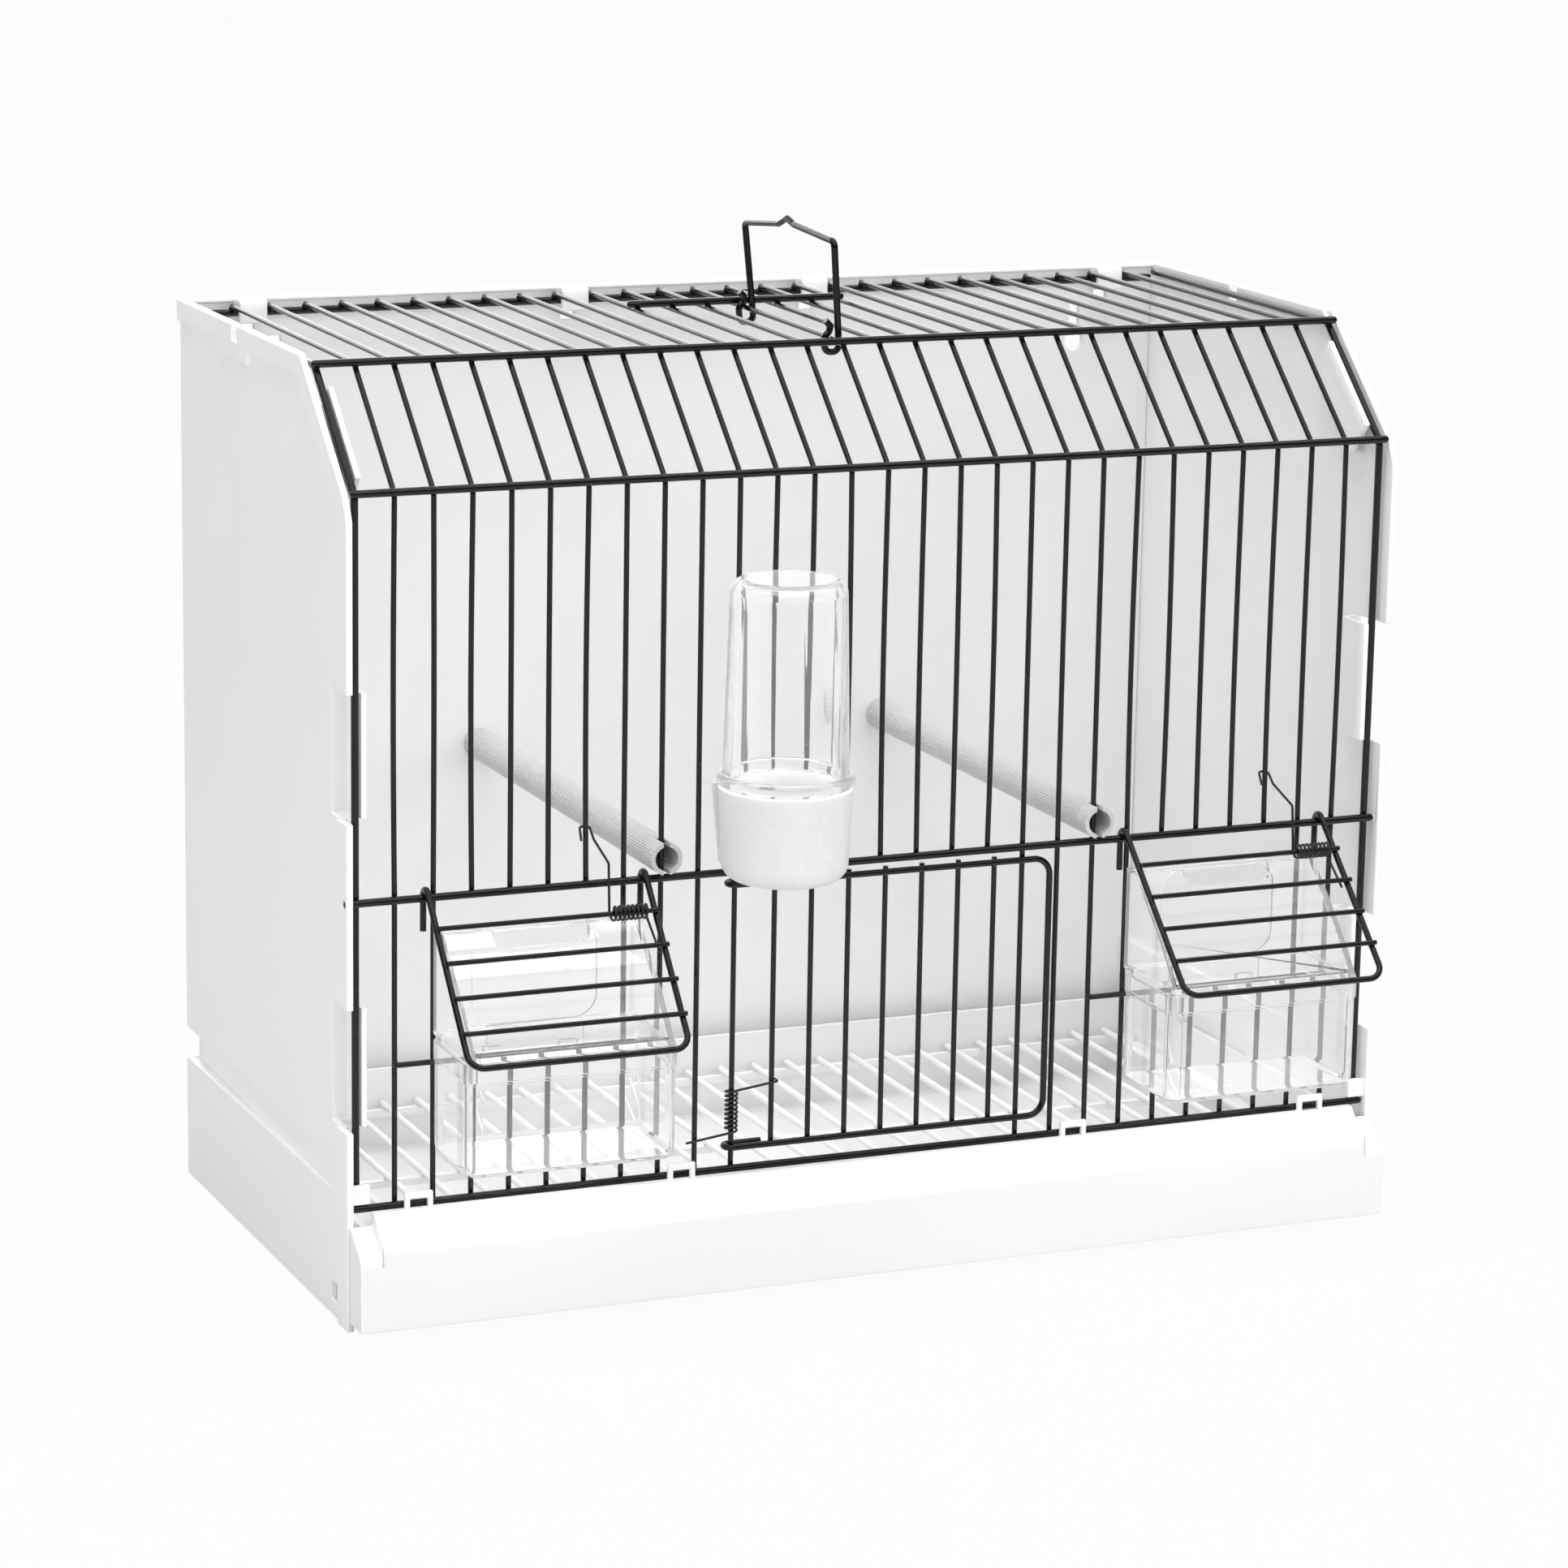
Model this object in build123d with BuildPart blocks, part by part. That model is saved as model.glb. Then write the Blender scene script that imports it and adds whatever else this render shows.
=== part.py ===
from build123d import *
import math
import os

os.makedirs("parts", exist_ok=True)

# Driving sizes in millimetres
wire_pitch = 12.5
wire_total = 29
upright_d = 1.75
rail_d = 2.5
edge_wire_d = 2.4
sill_wire_d = 1.8
upright_overrun = 1.0
rail_overrun = 2.1
weld_gap = 0.02
bend_radius = 3.0

# Heights above the ground and depths behind the front wires
bottom_rail_z = 38.8
sill_z = 83.6
mid_rail_z = 136.05
slope_foot_z = 261.5
top_wire_z = 296.3
slope_depth = 38.4
roof_fall = 0.7
roof_front_z = top_wire_z - roof_fall
wire_foot_z = bottom_rail_z - upright_overrun
short_wire_foot_z = mid_rail_z - upright_overrun
sill_upright_top_z = sill_z + upright_overrun

# White shell
shell_margin = 4.5
plate_proud = 1.2
plate_thickness = 2.0
shell_top_margin = 2.3
tab_thickness = 2.2
tab_reach = 5.0
tab_root_y = 5.0
plate_front_y = 3.0
shell_back_y = 171.7
rear_rail_inset = 6.7
back_thickness = 2.4
shell_top_z = top_wire_z + shell_top_margin
rear_rail_y = shell_back_y - rear_rail_inset
wire_end_y = rear_rail_y + upright_overrun
side_fit = 0.1

# Pieces in front of the wires
drinker_axis_y = -25.0
drinker_ring_radius = 21.5

# The origin lies under the middle of the whole cage
front_y = (-drinker_axis_y + drinker_ring_radius - shell_back_y) / 2
side_view = Plane(origin=(0, front_y, 0), x_dir=(0, 1, 0), z_dir=(1, 0, 0))
front_view = Plane(origin=(0, front_y, 0), x_dir=(1, 0, 0), z_dir=(0, -1, 0))
top_view = Plane(origin=(0, front_y, 0))

# Where the wires stand, counted from the left edge
middle_wire = (wire_total - 1) / 2
wire_half_span = middle_wire * wire_pitch
rail_half_length = wire_half_span + rail_overrun
shell_half_width = wire_half_span + shell_margin
edge_numbers = [0, 28]
long_numbers = [1, 2, 7, 8, 9, 10, 18, 19, 20, 21, 26, 27]
short_numbers = [3, 4, 5, 6, 11, 12, 13, 14, 15, 16, 17, 22, 23, 24, 25]
sill_upright_numbers = [3, 4, 5, 6, 22, 23, 24, 25]
sill_numbers = [1, 8]
feeder_numbers = [2, 7]
door_numbers = [11, 12, 13, 14, 15, 16, 17]
hinge_number = 10
perch_number = 20
feeder_repeat_wires = 19
strap_wires = [(1, 2), (10, 11), (17, 18), (26, 27)]
clip_wires = [(1, 2), (8, 9), (19, 20), (26, 27)]
hanger_wires = [(3, 4), (5, 6)]
drinker_wires = (10, 11)


def wire_x(number):
    return (number - middle_wire) * wire_pitch


def at(x, y, z):
    return Vector(x, front_y + y, z)


# Bends of the front wires
slope_lean = math.degrees(math.atan2(slope_depth, roof_front_z - slope_foot_z))
foot_half_turn = math.radians(slope_lean / 2)
top_half_turn = math.radians((90 - slope_lean) / 2)
rail_offset = (upright_d + rail_d) / 2 + weld_gap


def wire_corners(inset, foot_z):
    return [
        (wire_end_y, top_wire_z - inset),
        (slope_depth + inset * math.tan(top_half_turn), roof_front_z - inset),
        (inset, slope_foot_z - inset * math.tan(foot_half_turn)),
        (inset, foot_z),
    ]


def rounded_run(points, radius):
    """Straight runs with a tangent arc at every corner, from plain points."""
    points = [Vector(point) for point in points]
    start = points[0]
    for before, corner, after in zip(points, points[1:], points[2:]):
        back = (before - corner).normalized()
        on = (after - corner).normalized()
        half = math.radians(back.get_angle(on)) / 2
        cut = radius / math.tan(half)
        middle = (back + on).normalized()
        top = corner + middle * (radius / math.sin(half) - radius)
        Line(start, corner + back * cut)
        ThreePointArc(corner + back * cut, top, corner + on * cut)
        start = corner + on * cut
    Line(start, points[-1])


# Long bent wires, from the rear rail over the top and down to the bottom rail
with BuildPart() as long_wires:
    for number in long_numbers:
        with BuildLine(side_view.offset(wire_x(number))) as long_run:
            FilletPolyline(*wire_corners(0, wire_foot_z), radius=bend_radius)
        with BuildSketch(Plane(origin=long_run.line @ 0, z_dir=long_run.line % 0)):
            Circle(upright_d / 2)
        sweep()
long_wires.part.label = "long_wires"
export_step(long_wires.part, "parts/long_wires.step")

# Short bent wires, which stop at the middle rail over the openings
with BuildPart() as short_wires:
    for number in short_numbers:
        with BuildLine(side_view.offset(wire_x(number))) as short_run:
            FilletPolyline(*wire_corners(0, short_wire_foot_z), radius=bend_radius)
        with BuildSketch(Plane(origin=short_run.line @ 0, z_dir=short_run.line % 0)):
            Circle(upright_d / 2)
        sweep()
short_wires.part.label = "short_wires"
export_step(short_wires.part, "parts/short_wires.step")

# Thicker bent wires at the two edges
with BuildPart() as edge_wires:
    for number in edge_numbers:
        with BuildLine(side_view.offset(wire_x(number))) as edge_run:
            FilletPolyline(
                *wire_corners((edge_wire_d - upright_d) / 2, wire_foot_z), radius=bend_radius
            )
        with BuildSketch(Plane(origin=edge_run.line @ 0, z_dir=edge_run.line % 0)):
            Circle(edge_wire_d / 2)
        sweep()
edge_wires.part.label = "edge_wires"
export_step(edge_wires.part, "parts/edge_wires.step")

# Short uprights under the feeder openings
with BuildPart() as sill_uprights:
    with BuildSketch(top_view.offset(wire_foot_z)):
        with Locations([(wire_x(number), 0) for number in sill_upright_numbers]):
            Circle(upright_d / 2)
    extrude(amount=sill_upright_top_z - wire_foot_z)
sill_uprights.part.label = "sill_uprights"
export_step(sill_uprights.part, "parts/sill_uprights.step")

# Rails across the front, welded outside the uprights
with BuildPart() as bottom_rail:
    with BuildSketch(side_view):
        with Locations((-rail_offset, bottom_rail_z)):
            Circle(rail_d / 2)
    extrude(amount=rail_half_length, both=True)
bottom_rail.part.label = "bottom_rail"
export_step(bottom_rail.part, "parts/bottom_rail.step")

with BuildPart() as middle_rail:
    with BuildSketch(side_view.offset(-shell_half_width)):
        with Locations((-rail_offset, mid_rail_z)):
            Circle(rail_d / 2)
    extrude(amount=shell_half_width + rail_half_length)
middle_rail.part.label = "middle_rail"
export_step(middle_rail.part, "parts/middle_rail.step")

foot_rail_out = rail_offset - bend_radius * (1 / math.cos(foot_half_turn) - 1)
with BuildPart() as slope_foot_rail:
    with BuildSketch(side_view):
        with Locations(
            (
                -foot_rail_out * math.cos(foot_half_turn),
                slope_foot_z + foot_rail_out * math.sin(foot_half_turn),
            )
        ):
            Circle(rail_d / 2)
    extrude(amount=rail_half_length, both=True)
slope_foot_rail.part.label = "slope_foot_rail"
export_step(slope_foot_rail.part, "parts/slope_foot_rail.step")

# This rail lies on the slope, just below the upper bends
top_rail_drop = 1.5
slope_share_y = math.sin(math.radians(slope_lean))
slope_share_z = math.cos(math.radians(slope_lean))
top_rail_y = slope_depth - top_rail_drop * slope_share_y - rail_offset * slope_share_z
top_rail_z = roof_front_z - top_rail_drop * slope_share_z + rail_offset * slope_share_y
with BuildPart() as top_front_rail:
    with BuildSketch(side_view):
        with Locations((top_rail_y, top_rail_z)):
            Circle(rail_d / 2)
    extrude(amount=rail_half_length, both=True)
top_front_rail.part.label = "top_front_rail"
export_step(top_front_rail.part, "parts/top_front_rail.step")

# Rear rail, welded under the rear ends of the top wires
rear_rail_z = top_wire_z - rail_offset
with BuildPart() as rear_rail:
    with BuildSketch(side_view):
        with Locations((rear_rail_y, rear_rail_z)):
            Circle(rail_d / 2)
    extrude(amount=wire_half_span - edge_wire_d / 2 - weld_gap, both=True)
rear_rail.part.label = "rear_rail"
export_step(rear_rail.part, "parts/rear_rail.step")

# Short sill wires that carry the feeders
sill_offset = (upright_d + sill_wire_d) / 2 + weld_gap
sill_overrun = 1.0
sill_start = wire_x(sill_numbers[0]) - sill_overrun
sill_length = wire_x(sill_numbers[1]) - wire_x(sill_numbers[0]) + 2 * sill_overrun
with BuildPart() as left_sill_wire:
    with BuildSketch(side_view.offset(sill_start)):
        with Locations((-sill_offset, sill_z)):
            Circle(sill_wire_d / 2)
    extrude(amount=sill_length)
left_sill_wire.part.label = "left_sill_wire"
export_step(left_sill_wire.part, "parts/left_sill_wire.step")

with BuildPart() as right_sill_wire:
    with BuildSketch(side_view.offset(sill_start + feeder_repeat_wires * wire_pitch)):
        with Locations((-sill_offset, sill_z)):
            Circle(sill_wire_d / 2)
    extrude(amount=sill_length)
right_sill_wire.part.label = "right_sill_wire"
export_step(right_sill_wire.part, "parts/right_sill_wire.step")

# Brace wire on the top wires, behind the rear hook of the handle
brace_y = 120.65
brace_left_over = 3.7
brace_right_short = 1.2
brace_left_x = wire_x(door_numbers[0]) - brace_left_over
brace_right_x = wire_x(door_numbers[-1]) - brace_right_short
brace_wire_z = top_wire_z - roof_fall * (wire_end_y - brace_y) / (wire_end_y - slope_depth)
brace_z = brace_wire_z + rail_offset
with BuildPart() as top_brace_wire:
    with BuildSketch(side_view.offset(brace_left_x)):
        with Locations((brace_y, brace_z)):
            Circle(rail_d / 2)
    extrude(amount=brace_right_x - brace_left_x)
top_brace_wire.part.label = "top_brace_wire"
export_step(top_brace_wire.part, "parts/top_brace_wire.step")

# Carry handle, one bent wire whose two hooks hold the middle top wire
handle_wire_d = 2.2
handle_clear = 0.3
handle_front_y = 46.4
handle_top_shift = 1.8
handle_rear_shift = 1.5
front_corner_rise = 30.1
front_corner_back = 0.5
front_shoulder_rise = 32.0
front_shoulder_y = 77.7
handle_peak_rise = 33.5
handle_peak_y = 83.2
rear_shoulder_rise = 31.0
rear_shoulder_y = 89.8
rear_corner_rise = 28.1
hook_drop = 5.0
hook_low_width = 5.0
hook_far_side = 2.6
hook_throat_rise = 2.6
hook_throat_side = 0.1
hook_end_rise = 5.1
hook_end_side = 2.3
hook_bend = 2.1
handle_side = (upright_d + handle_wire_d) / 2 + handle_clear
handle_rear_y = brace_y - (rail_d + handle_wire_d) / 2 - handle_clear


def handle_point(y, rise):
    """A point of the loop, which leans to the left, a little more at the rear."""
    rear_share = (y - handle_front_y) / (handle_rear_y - handle_front_y)
    lean = (handle_top_shift + handle_rear_shift * rear_share) * rise / front_corner_rise
    return at(wire_x(middle_wire) + handle_side - lean, y, top_wire_z + rise)


def hook_points(y):
    """One hook from its free end: over the wire, round it and under it."""
    low = handle_point(y, -hook_drop)
    return [
        at(wire_x(middle_wire) - hook_end_side, y, top_wire_z + hook_end_rise),
        at(wire_x(middle_wire) + hook_throat_side, y, top_wire_z + hook_throat_rise),
        at(wire_x(middle_wire) - hook_far_side, y, top_wire_z),
        low - Vector(hook_low_width, 0, 0),
        low,
    ]


with BuildPart() as carry_handle:
    with BuildLine() as handle_run:
        rounded_run(
            hook_points(handle_front_y)
            + [
                handle_point(handle_front_y + front_corner_back, front_corner_rise),
                handle_point(front_shoulder_y, front_shoulder_rise),
                handle_point(handle_peak_y, handle_peak_rise),
                handle_point(rear_shoulder_y, rear_shoulder_rise),
                handle_point(handle_rear_y, rear_corner_rise),
            ]
            + list(reversed(hook_points(handle_rear_y))),
            hook_bend,
        )
    with BuildSketch(Plane(origin=handle_run.line @ 0, z_dir=handle_run.line % 0)):
        Circle(handle_wire_d / 2)
    sweep()
carry_handle.part.label = "carry_handle"
export_step(carry_handle.part, "parts/carry_handle.step")

# Main door, a bent frame wire whose ends turn round one upright as hinge eyes
door_wire_d = 2.1
door_clear = 0.32
door_low_rise = 6.9
door_high_drop = 4.3
door_overlap = 8.85
door_upright_shift = 0.87
door_pitch_over = 0.23
door_low_z = bottom_rail_z + door_low_rise
door_high_z = mid_rail_z - door_high_drop
door_right_x = wire_x(door_numbers[-1] + 1) + door_overlap
door_corner = 5.5
eye_tail = 11.0
door_offset = (upright_d + door_wire_d) / 2 + door_clear
hinge_x = wire_x(hinge_number)


def door_wire_x(number):
    """The door's own uprights stand a little wider apart than the front's."""
    return wire_x(number) + door_upright_shift + door_pitch_over * (number - hinge_number)


with BuildPart() as door_frame:
    with BuildLine() as door_run:
        Line(at(hinge_x + eye_tail, door_offset, door_high_z), at(hinge_x, door_offset, door_high_z))
        ThreePointArc(
            at(hinge_x, door_offset, door_high_z),
            at(hinge_x - door_offset, 0, door_high_z),
            at(hinge_x, -door_offset, door_high_z),
        )
        rounded_run(
            [
                at(hinge_x, -door_offset, door_high_z),
                at(door_right_x, -door_offset, door_high_z),
                at(door_right_x, -door_offset, door_low_z),
                at(hinge_x, -door_offset, door_low_z),
            ],
            door_corner,
        )
        ThreePointArc(
            at(hinge_x, -door_offset, door_low_z),
            at(hinge_x - door_offset, 0, door_low_z),
            at(hinge_x, door_offset, door_low_z),
        )
        Line(at(hinge_x, door_offset, door_low_z), at(hinge_x + eye_tail, door_offset, door_low_z))
    with BuildSketch(Plane(origin=door_run.line @ 0, z_dir=door_run.line % 0)):
        Circle(door_wire_d / 2)
    sweep()
door_frame.part.label = "door_frame"
export_step(door_frame.part, "parts/door_frame.step")

# Uprights of the main door, welded behind its frame
door_upright_y = -door_offset + (upright_d + door_wire_d) / 2 + weld_gap
door_upright_overrun = 1.4
with BuildPart() as door_uprights:
    with BuildSketch(top_view.offset(door_low_z - door_upright_overrun)):
        with Locations([(door_wire_x(number), door_upright_y) for number in door_numbers]):
            Circle(upright_d / 2)
    extrude(amount=door_high_z - door_low_z + 2 * door_upright_overrun)
door_uprights.part.label = "door_uprights"
export_step(door_uprights.part, "parts/door_uprights.step")


def biarc(start, start_way, end, end_way):
    """Two arcs that meet with one tangent, from one point and way to another."""
    chord = end - start
    ways = start_way + end_way
    lean = 2 * (1 - start_way.dot(end_way))
    along = chord.dot(ways)
    reach = (math.sqrt(along * along + lean * chord.dot(chord)) - along) / lean
    joint = (start + end + (start_way - end_way) * reach) * 0.5
    TangentArc(start, joint, tangent=start_way)
    TangentArc(joint, end, tangent=-end_way, tangent_from_first=False)


def coil(centre, first, second, along, radius, advance, turns):
    """Quarter turns of a helix from the first way towards the second."""
    steps = 4 * turns
    rise = along * (advance / 4)
    quarter = math.pi / 2
    slope = math.hypot(radius * quarter, advance / 4)

    def place(step):
        turn = step * quarter
        return centre + (first * math.cos(turn) + second * math.sin(turn)) * radius + rise * step

    def way(step):
        turn = step * quarter
        round_way = (second * math.cos(turn) - first * math.sin(turn)) * (radius * quarter)
        return (round_way + rise) * (1 / slope)

    for step in range(steps):
        biarc(place(step), way(step), place(step + 1), way(step + 1))
    return place(0), way(0), place(steps), way(steps)


def print_least_gap(name, run, wire_d, turn_length):
    """Least gap between stretches of one wound wire, measured on points."""
    samples = 900
    wire = Wire(run.edges())
    spots = [tuple(wire @ (step / samples)) for step in range(samples + 1)]
    stride = max(1, int(samples * turn_length / wire.length))
    least = min(
        math.dist(spots[i], spots[j])
        for i in range(samples + 1)
        for j in range(i + stride, samples + 1)
    )
    print(name, "least gap to itself, mm:", round(least - wire_d, 3))


# Main door spring, wound round the hinge upright
spring_wire_d = 0.8
door_coil_radius = 1.85
door_coil_rise = 4.9
door_coil_low_z = door_low_z + door_coil_rise
door_coil_advance = 1.5
door_coil_turns = 9
door_arm_reach = 16.2
door_hook_bend = 0.9
door_hook_depth = 1.2
door_hook_x = door_wire_x(door_numbers[0]) + upright_d / 2 + spring_wire_d
with BuildPart() as door_spring:
    with BuildLine() as door_spring_run:
        coil_start, coil_start_way, coil_end, coil_end_way = coil(
            at(hinge_x, 0, door_coil_low_z),
            Vector(0, -1, 0),
            Vector(1, 0, 0),
            Vector(0, 0, 1),
            door_coil_radius,
            door_coil_advance,
            door_coil_turns,
        )
        Line(coil_start - coil_start_way * door_arm_reach, coil_start)
        rounded_run(
            [
                coil_end,
                coil_end + coil_end_way * ((door_hook_x - hinge_x) / coil_end_way.X),
                coil_end
                + coil_end_way * ((door_hook_x - hinge_x) / coil_end_way.X)
                + Vector(0, door_coil_radius + door_hook_depth, 0),
            ],
            door_hook_bend,
        )
    with BuildSketch(Plane(origin=door_spring_run.line @ 0, z_dir=door_spring_run.line % 0)):
        Circle(spring_wire_d / 2)
    sweep()
door_spring.part.label = "door_spring"
export_step(door_spring.part, "parts/door_spring.step")
print_least_gap(
    "door_spring", door_spring_run.line, spring_wire_d, math.pi * door_coil_radius
)

# Feeder flaps, leaning out from the middle rail, each as it came to rest
flap_wire_d = 2.0
flap_bar_d = 1.6
left_flap_lean = math.radians(39.8)
right_flap_lean = math.radians(43.2)
left_flap_length = 59.2
right_flap_length = 60.3
left_flap_skew = 0.5
right_flap_skew = 2.4
flap_left_over = 3.1
flap_right_over = 5.9
flap_left_x = wire_x(feeder_numbers[0]) - flap_left_over
flap_right_x = wire_x(feeder_numbers[1]) + flap_right_over
flap_middle_x = (flap_left_x + flap_right_x) / 2
flap_half = (flap_right_x - flap_left_x) / 2
right_flap_shift = 0.9
flap_corner = 5.0
flap_clear = 0.3
flap_tail = 11.0
flap_bar_count = 4
flap_bar_start = 0.9
flap_bar_step = 11.85
flap_bar_overrun = 0.9
rail_y = -rail_offset
flap_hook_radius = (rail_d + flap_wire_d) / 2 + flap_clear
flap_bar_out = (flap_wire_d + flap_bar_d) / 2 + weld_gap
feeder_shift = feeder_repeat_wires * wire_pitch
right_flap_middle_x = flap_middle_x + feeder_shift + right_flap_shift


def flap_way(lean, length, skew):
    """Down the leg of a flap, which may lean sideways by a little."""
    return Vector(skew / length, -math.sin(lean), -math.cos(lean))


def flap_out(lean):
    return Vector(0, -math.cos(lean), math.sin(lean))


def flap_frame_run(middle_x, lean, length, skew):
    """The frame wire: tail, hook over the rail, leg, bottom, leg, hook, tail."""
    left = at(middle_x - flap_half, rail_y, mid_rail_z)
    right = at(middle_x + flap_half, rail_y, mid_rail_z)
    behind = Vector(0, flap_hook_radius, 0)
    crest = (flap_out(lean) + Vector(0, 1, 0)).normalized() * flap_hook_radius
    tail = Vector(0, 0, -flap_tail)
    leg = flap_out(lean) * flap_hook_radius
    bottom = flap_way(lean, length, skew) * length
    Line(left + behind + tail, left + behind)
    ThreePointArc(left + behind, left + crest, left + leg)
    rounded_run([left + leg, left + leg + bottom, right + leg + bottom, right + leg], flap_corner)
    ThreePointArc(right + leg, right + crest, right + behind)
    Line(right + behind, right + behind + tail)


def flap_bar_centre(x, lean, length, skew, number):
    """Where one cross bar meets a leg that hangs from the rail at x."""
    spot = at(x, rail_y, mid_rail_z) + flap_out(lean) * (flap_hook_radius + flap_bar_out)
    return spot + flap_way(lean, length, skew) * (flap_bar_start + flap_bar_step * number)


def flap_bar_planes(middle_x, lean, length, skew):
    """One plane across the left leg for each cross bar."""
    return [
        Plane(
            origin=flap_bar_centre(middle_x - flap_half, lean, length, skew, number),
            z_dir=(1, 0, 0),
        )
        for number in range(1, flap_bar_count + 1)
    ]


flap_section_plane = Plane(
    origin=at(0, rail_y + flap_hook_radius, mid_rail_z - flap_tail), z_dir=(0, 0, 1)
)

with BuildPart() as left_flap_frame:
    with BuildLine():
        flap_frame_run(flap_middle_x, left_flap_lean, left_flap_length, left_flap_skew)
    with BuildSketch(flap_section_plane):
        with Locations((flap_middle_x - flap_half, 0)):
            Circle(flap_wire_d / 2)
    sweep()
left_flap_frame.part.label = "left_flap_frame"
export_step(left_flap_frame.part, "parts/left_flap_frame.step")

with BuildPart() as right_flap_frame:
    with BuildLine():
        flap_frame_run(right_flap_middle_x, right_flap_lean, right_flap_length, right_flap_skew)
    with BuildSketch(flap_section_plane):
        with Locations((right_flap_middle_x - flap_half, 0)):
            Circle(flap_wire_d / 2)
    sweep()
right_flap_frame.part.label = "right_flap_frame"
export_step(right_flap_frame.part, "parts/right_flap_frame.step")

# Cross bars of the feeder flaps
with BuildPart() as left_flap_bars:
    with BuildSketch(
        *flap_bar_planes(flap_middle_x, left_flap_lean, left_flap_length, left_flap_skew)
    ):
        Circle(flap_bar_d / 2)
    extrude(amount=2 * flap_half + flap_bar_overrun)
left_flap_bars.part.label = "left_flap_bars"
export_step(left_flap_bars.part, "parts/left_flap_bars.step")

with BuildPart() as right_flap_bars:
    with BuildSketch(
        *flap_bar_planes(right_flap_middle_x, right_flap_lean, right_flap_length, right_flap_skew)
    ):
        Circle(flap_bar_d / 2)
    extrude(amount=2 * flap_half + flap_bar_overrun)
right_flap_bars.part.label = "right_flap_bars"
export_step(right_flap_bars.part, "parts/right_flap_bars.step")

# Feeder flap springs, wound round the right end of the first cross bar
flap_coil_radius = 2.1
flap_coil_advance = 1.45
flap_coil_turns = 8
flap_arm_side = 3.2
flap_arm_down = 13.5
flap_arm_out = 1.2
flap_arm_bend = 1.2
flap_arm_y = -10.0
flap_arm_rise = 8.2
anchor_number = 6
anchor_clear = 0.35
anchor_rise = 14.2
anchor_crest = 3.4
anchor_front_y = -2.4
anchor_tail_side = 0.9
anchor_low_z = mid_rail_z + anchor_rise
anchor_crest_z = anchor_low_z + anchor_crest
anchor_radius = (upright_d + spring_wire_d) / 2 + anchor_clear


def flap_spring_run(middle_x, lean, length, skew, anchor_x):
    """Arm along the leg, coil, arm up past the rail and a hook round an upright."""
    centre = flap_bar_centre(middle_x + flap_half - flap_arm_side, lean, length, skew, 1)
    up = Vector(0, math.sin(lean), math.cos(lean))
    begin, begin_way, end, end_way = coil(
        centre,
        -flap_out(lean),
        up,
        Vector(-1, 0, 0),
        flap_coil_radius,
        flap_coil_advance,
        flap_coil_turns,
    )
    Line(begin - begin_way * flap_arm_down, begin)
    rounded_run(
        [
            end,
            end + end_way * flap_arm_out,
            at(end.X, flap_arm_y, mid_rail_z + flap_arm_rise),
            at(anchor_x + anchor_radius, anchor_front_y, anchor_low_z),
            at(anchor_x + anchor_radius, anchor_radius, anchor_crest_z),
            at(anchor_x - anchor_radius, anchor_radius, anchor_crest_z),
            at(anchor_x - anchor_radius - anchor_tail_side, anchor_front_y, anchor_low_z),
        ],
        flap_arm_bend,
    )


with BuildPart() as left_flap_spring:
    with BuildLine() as left_spring_run:
        flap_spring_run(
            flap_middle_x,
            left_flap_lean,
            left_flap_length,
            left_flap_skew,
            wire_x(anchor_number),
        )
    with BuildSketch(Plane(origin=left_spring_run.line @ 0, z_dir=left_spring_run.line % 0)):
        Circle(spring_wire_d / 2)
    sweep()
left_flap_spring.part.label = "left_flap_spring"
export_step(left_flap_spring.part, "parts/left_flap_spring.step")
print_least_gap(
    "left_flap_spring", left_spring_run.line, spring_wire_d, math.pi * flap_coil_radius
)

with BuildPart() as right_flap_spring:
    with BuildLine() as right_spring_run:
        flap_spring_run(
            right_flap_middle_x,
            right_flap_lean,
            right_flap_length,
            right_flap_skew,
            wire_x(anchor_number + feeder_repeat_wires),
        )
    with BuildSketch(Plane(origin=right_spring_run.line @ 0, z_dir=right_spring_run.line % 0)):
        Circle(spring_wire_d / 2)
    sweep()
right_flap_spring.part.label = "right_flap_spring"
export_step(right_flap_spring.part, "parts/right_flap_spring.step")
print_least_gap(
    "right_flap_spring", right_spring_run.line, spring_wire_d, math.pi * flap_coil_radius
)

# Side panels: a plate with a proud band that follows the ends of the wires
band_width = 7.0
band_top_z = shell_top_z - band_width
slope_out = 1.1
tab_one_drop = 7.0
tab_one_top_z = slope_foot_z - tab_one_drop
tab_one_foot_z = 201.5
tab_two_top_z = 161.5
tab_two_foot_z = 103.0
tab_three_top_z = 64.0
window_depth = 13.0
slope_run = slope_depth / (roof_front_z - slope_foot_z)
outer_slope_foot = wire_corners(-slope_out, 0)[2]
outer_slope_top_y = outer_slope_foot[0] + (shell_top_z - outer_slope_foot[1]) * slope_run
band_slope_drop = 6.9
band_slope_foot_z = slope_foot_z - band_slope_drop
band_slope_top_y = tab_root_y + (band_top_z - band_slope_foot_z) * slope_run
plate_slope_rise = 0.1
plate_slope_foot_z = slope_foot_z + plate_slope_rise
plate_slope_top_y = plate_front_y + (shell_top_z - plate_slope_foot_z) * slope_run
flange_gap_y = 108.0
flange_gap_width = 5.5
flange_gap_depth = 5.2
flange_gap_foot_z = shell_top_z - flange_gap_depth
flange_tab_depth = 11.1
flange_tab_low_z = shell_top_z - flange_tab_depth
flange_tab_front_y = 94.7
flange_tab_back_y = 127.2
inner_tab_clear = 0.4
inner_tab_x = wire_half_span - edge_wire_d / 2 - inner_tab_clear
inner_tab_thickness = 1.8
inner_tab_front_y = -1.0
inner_web = 2.0
tab_fit = 0.5
slope_tab_start = 6.0
slope_tab_length = 36.0
rail_hole_clear = 0.25
end_block_rise = 1.6
end_block_height = 6.1
end_block_low_z = bottom_rail_z + end_block_rise
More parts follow.
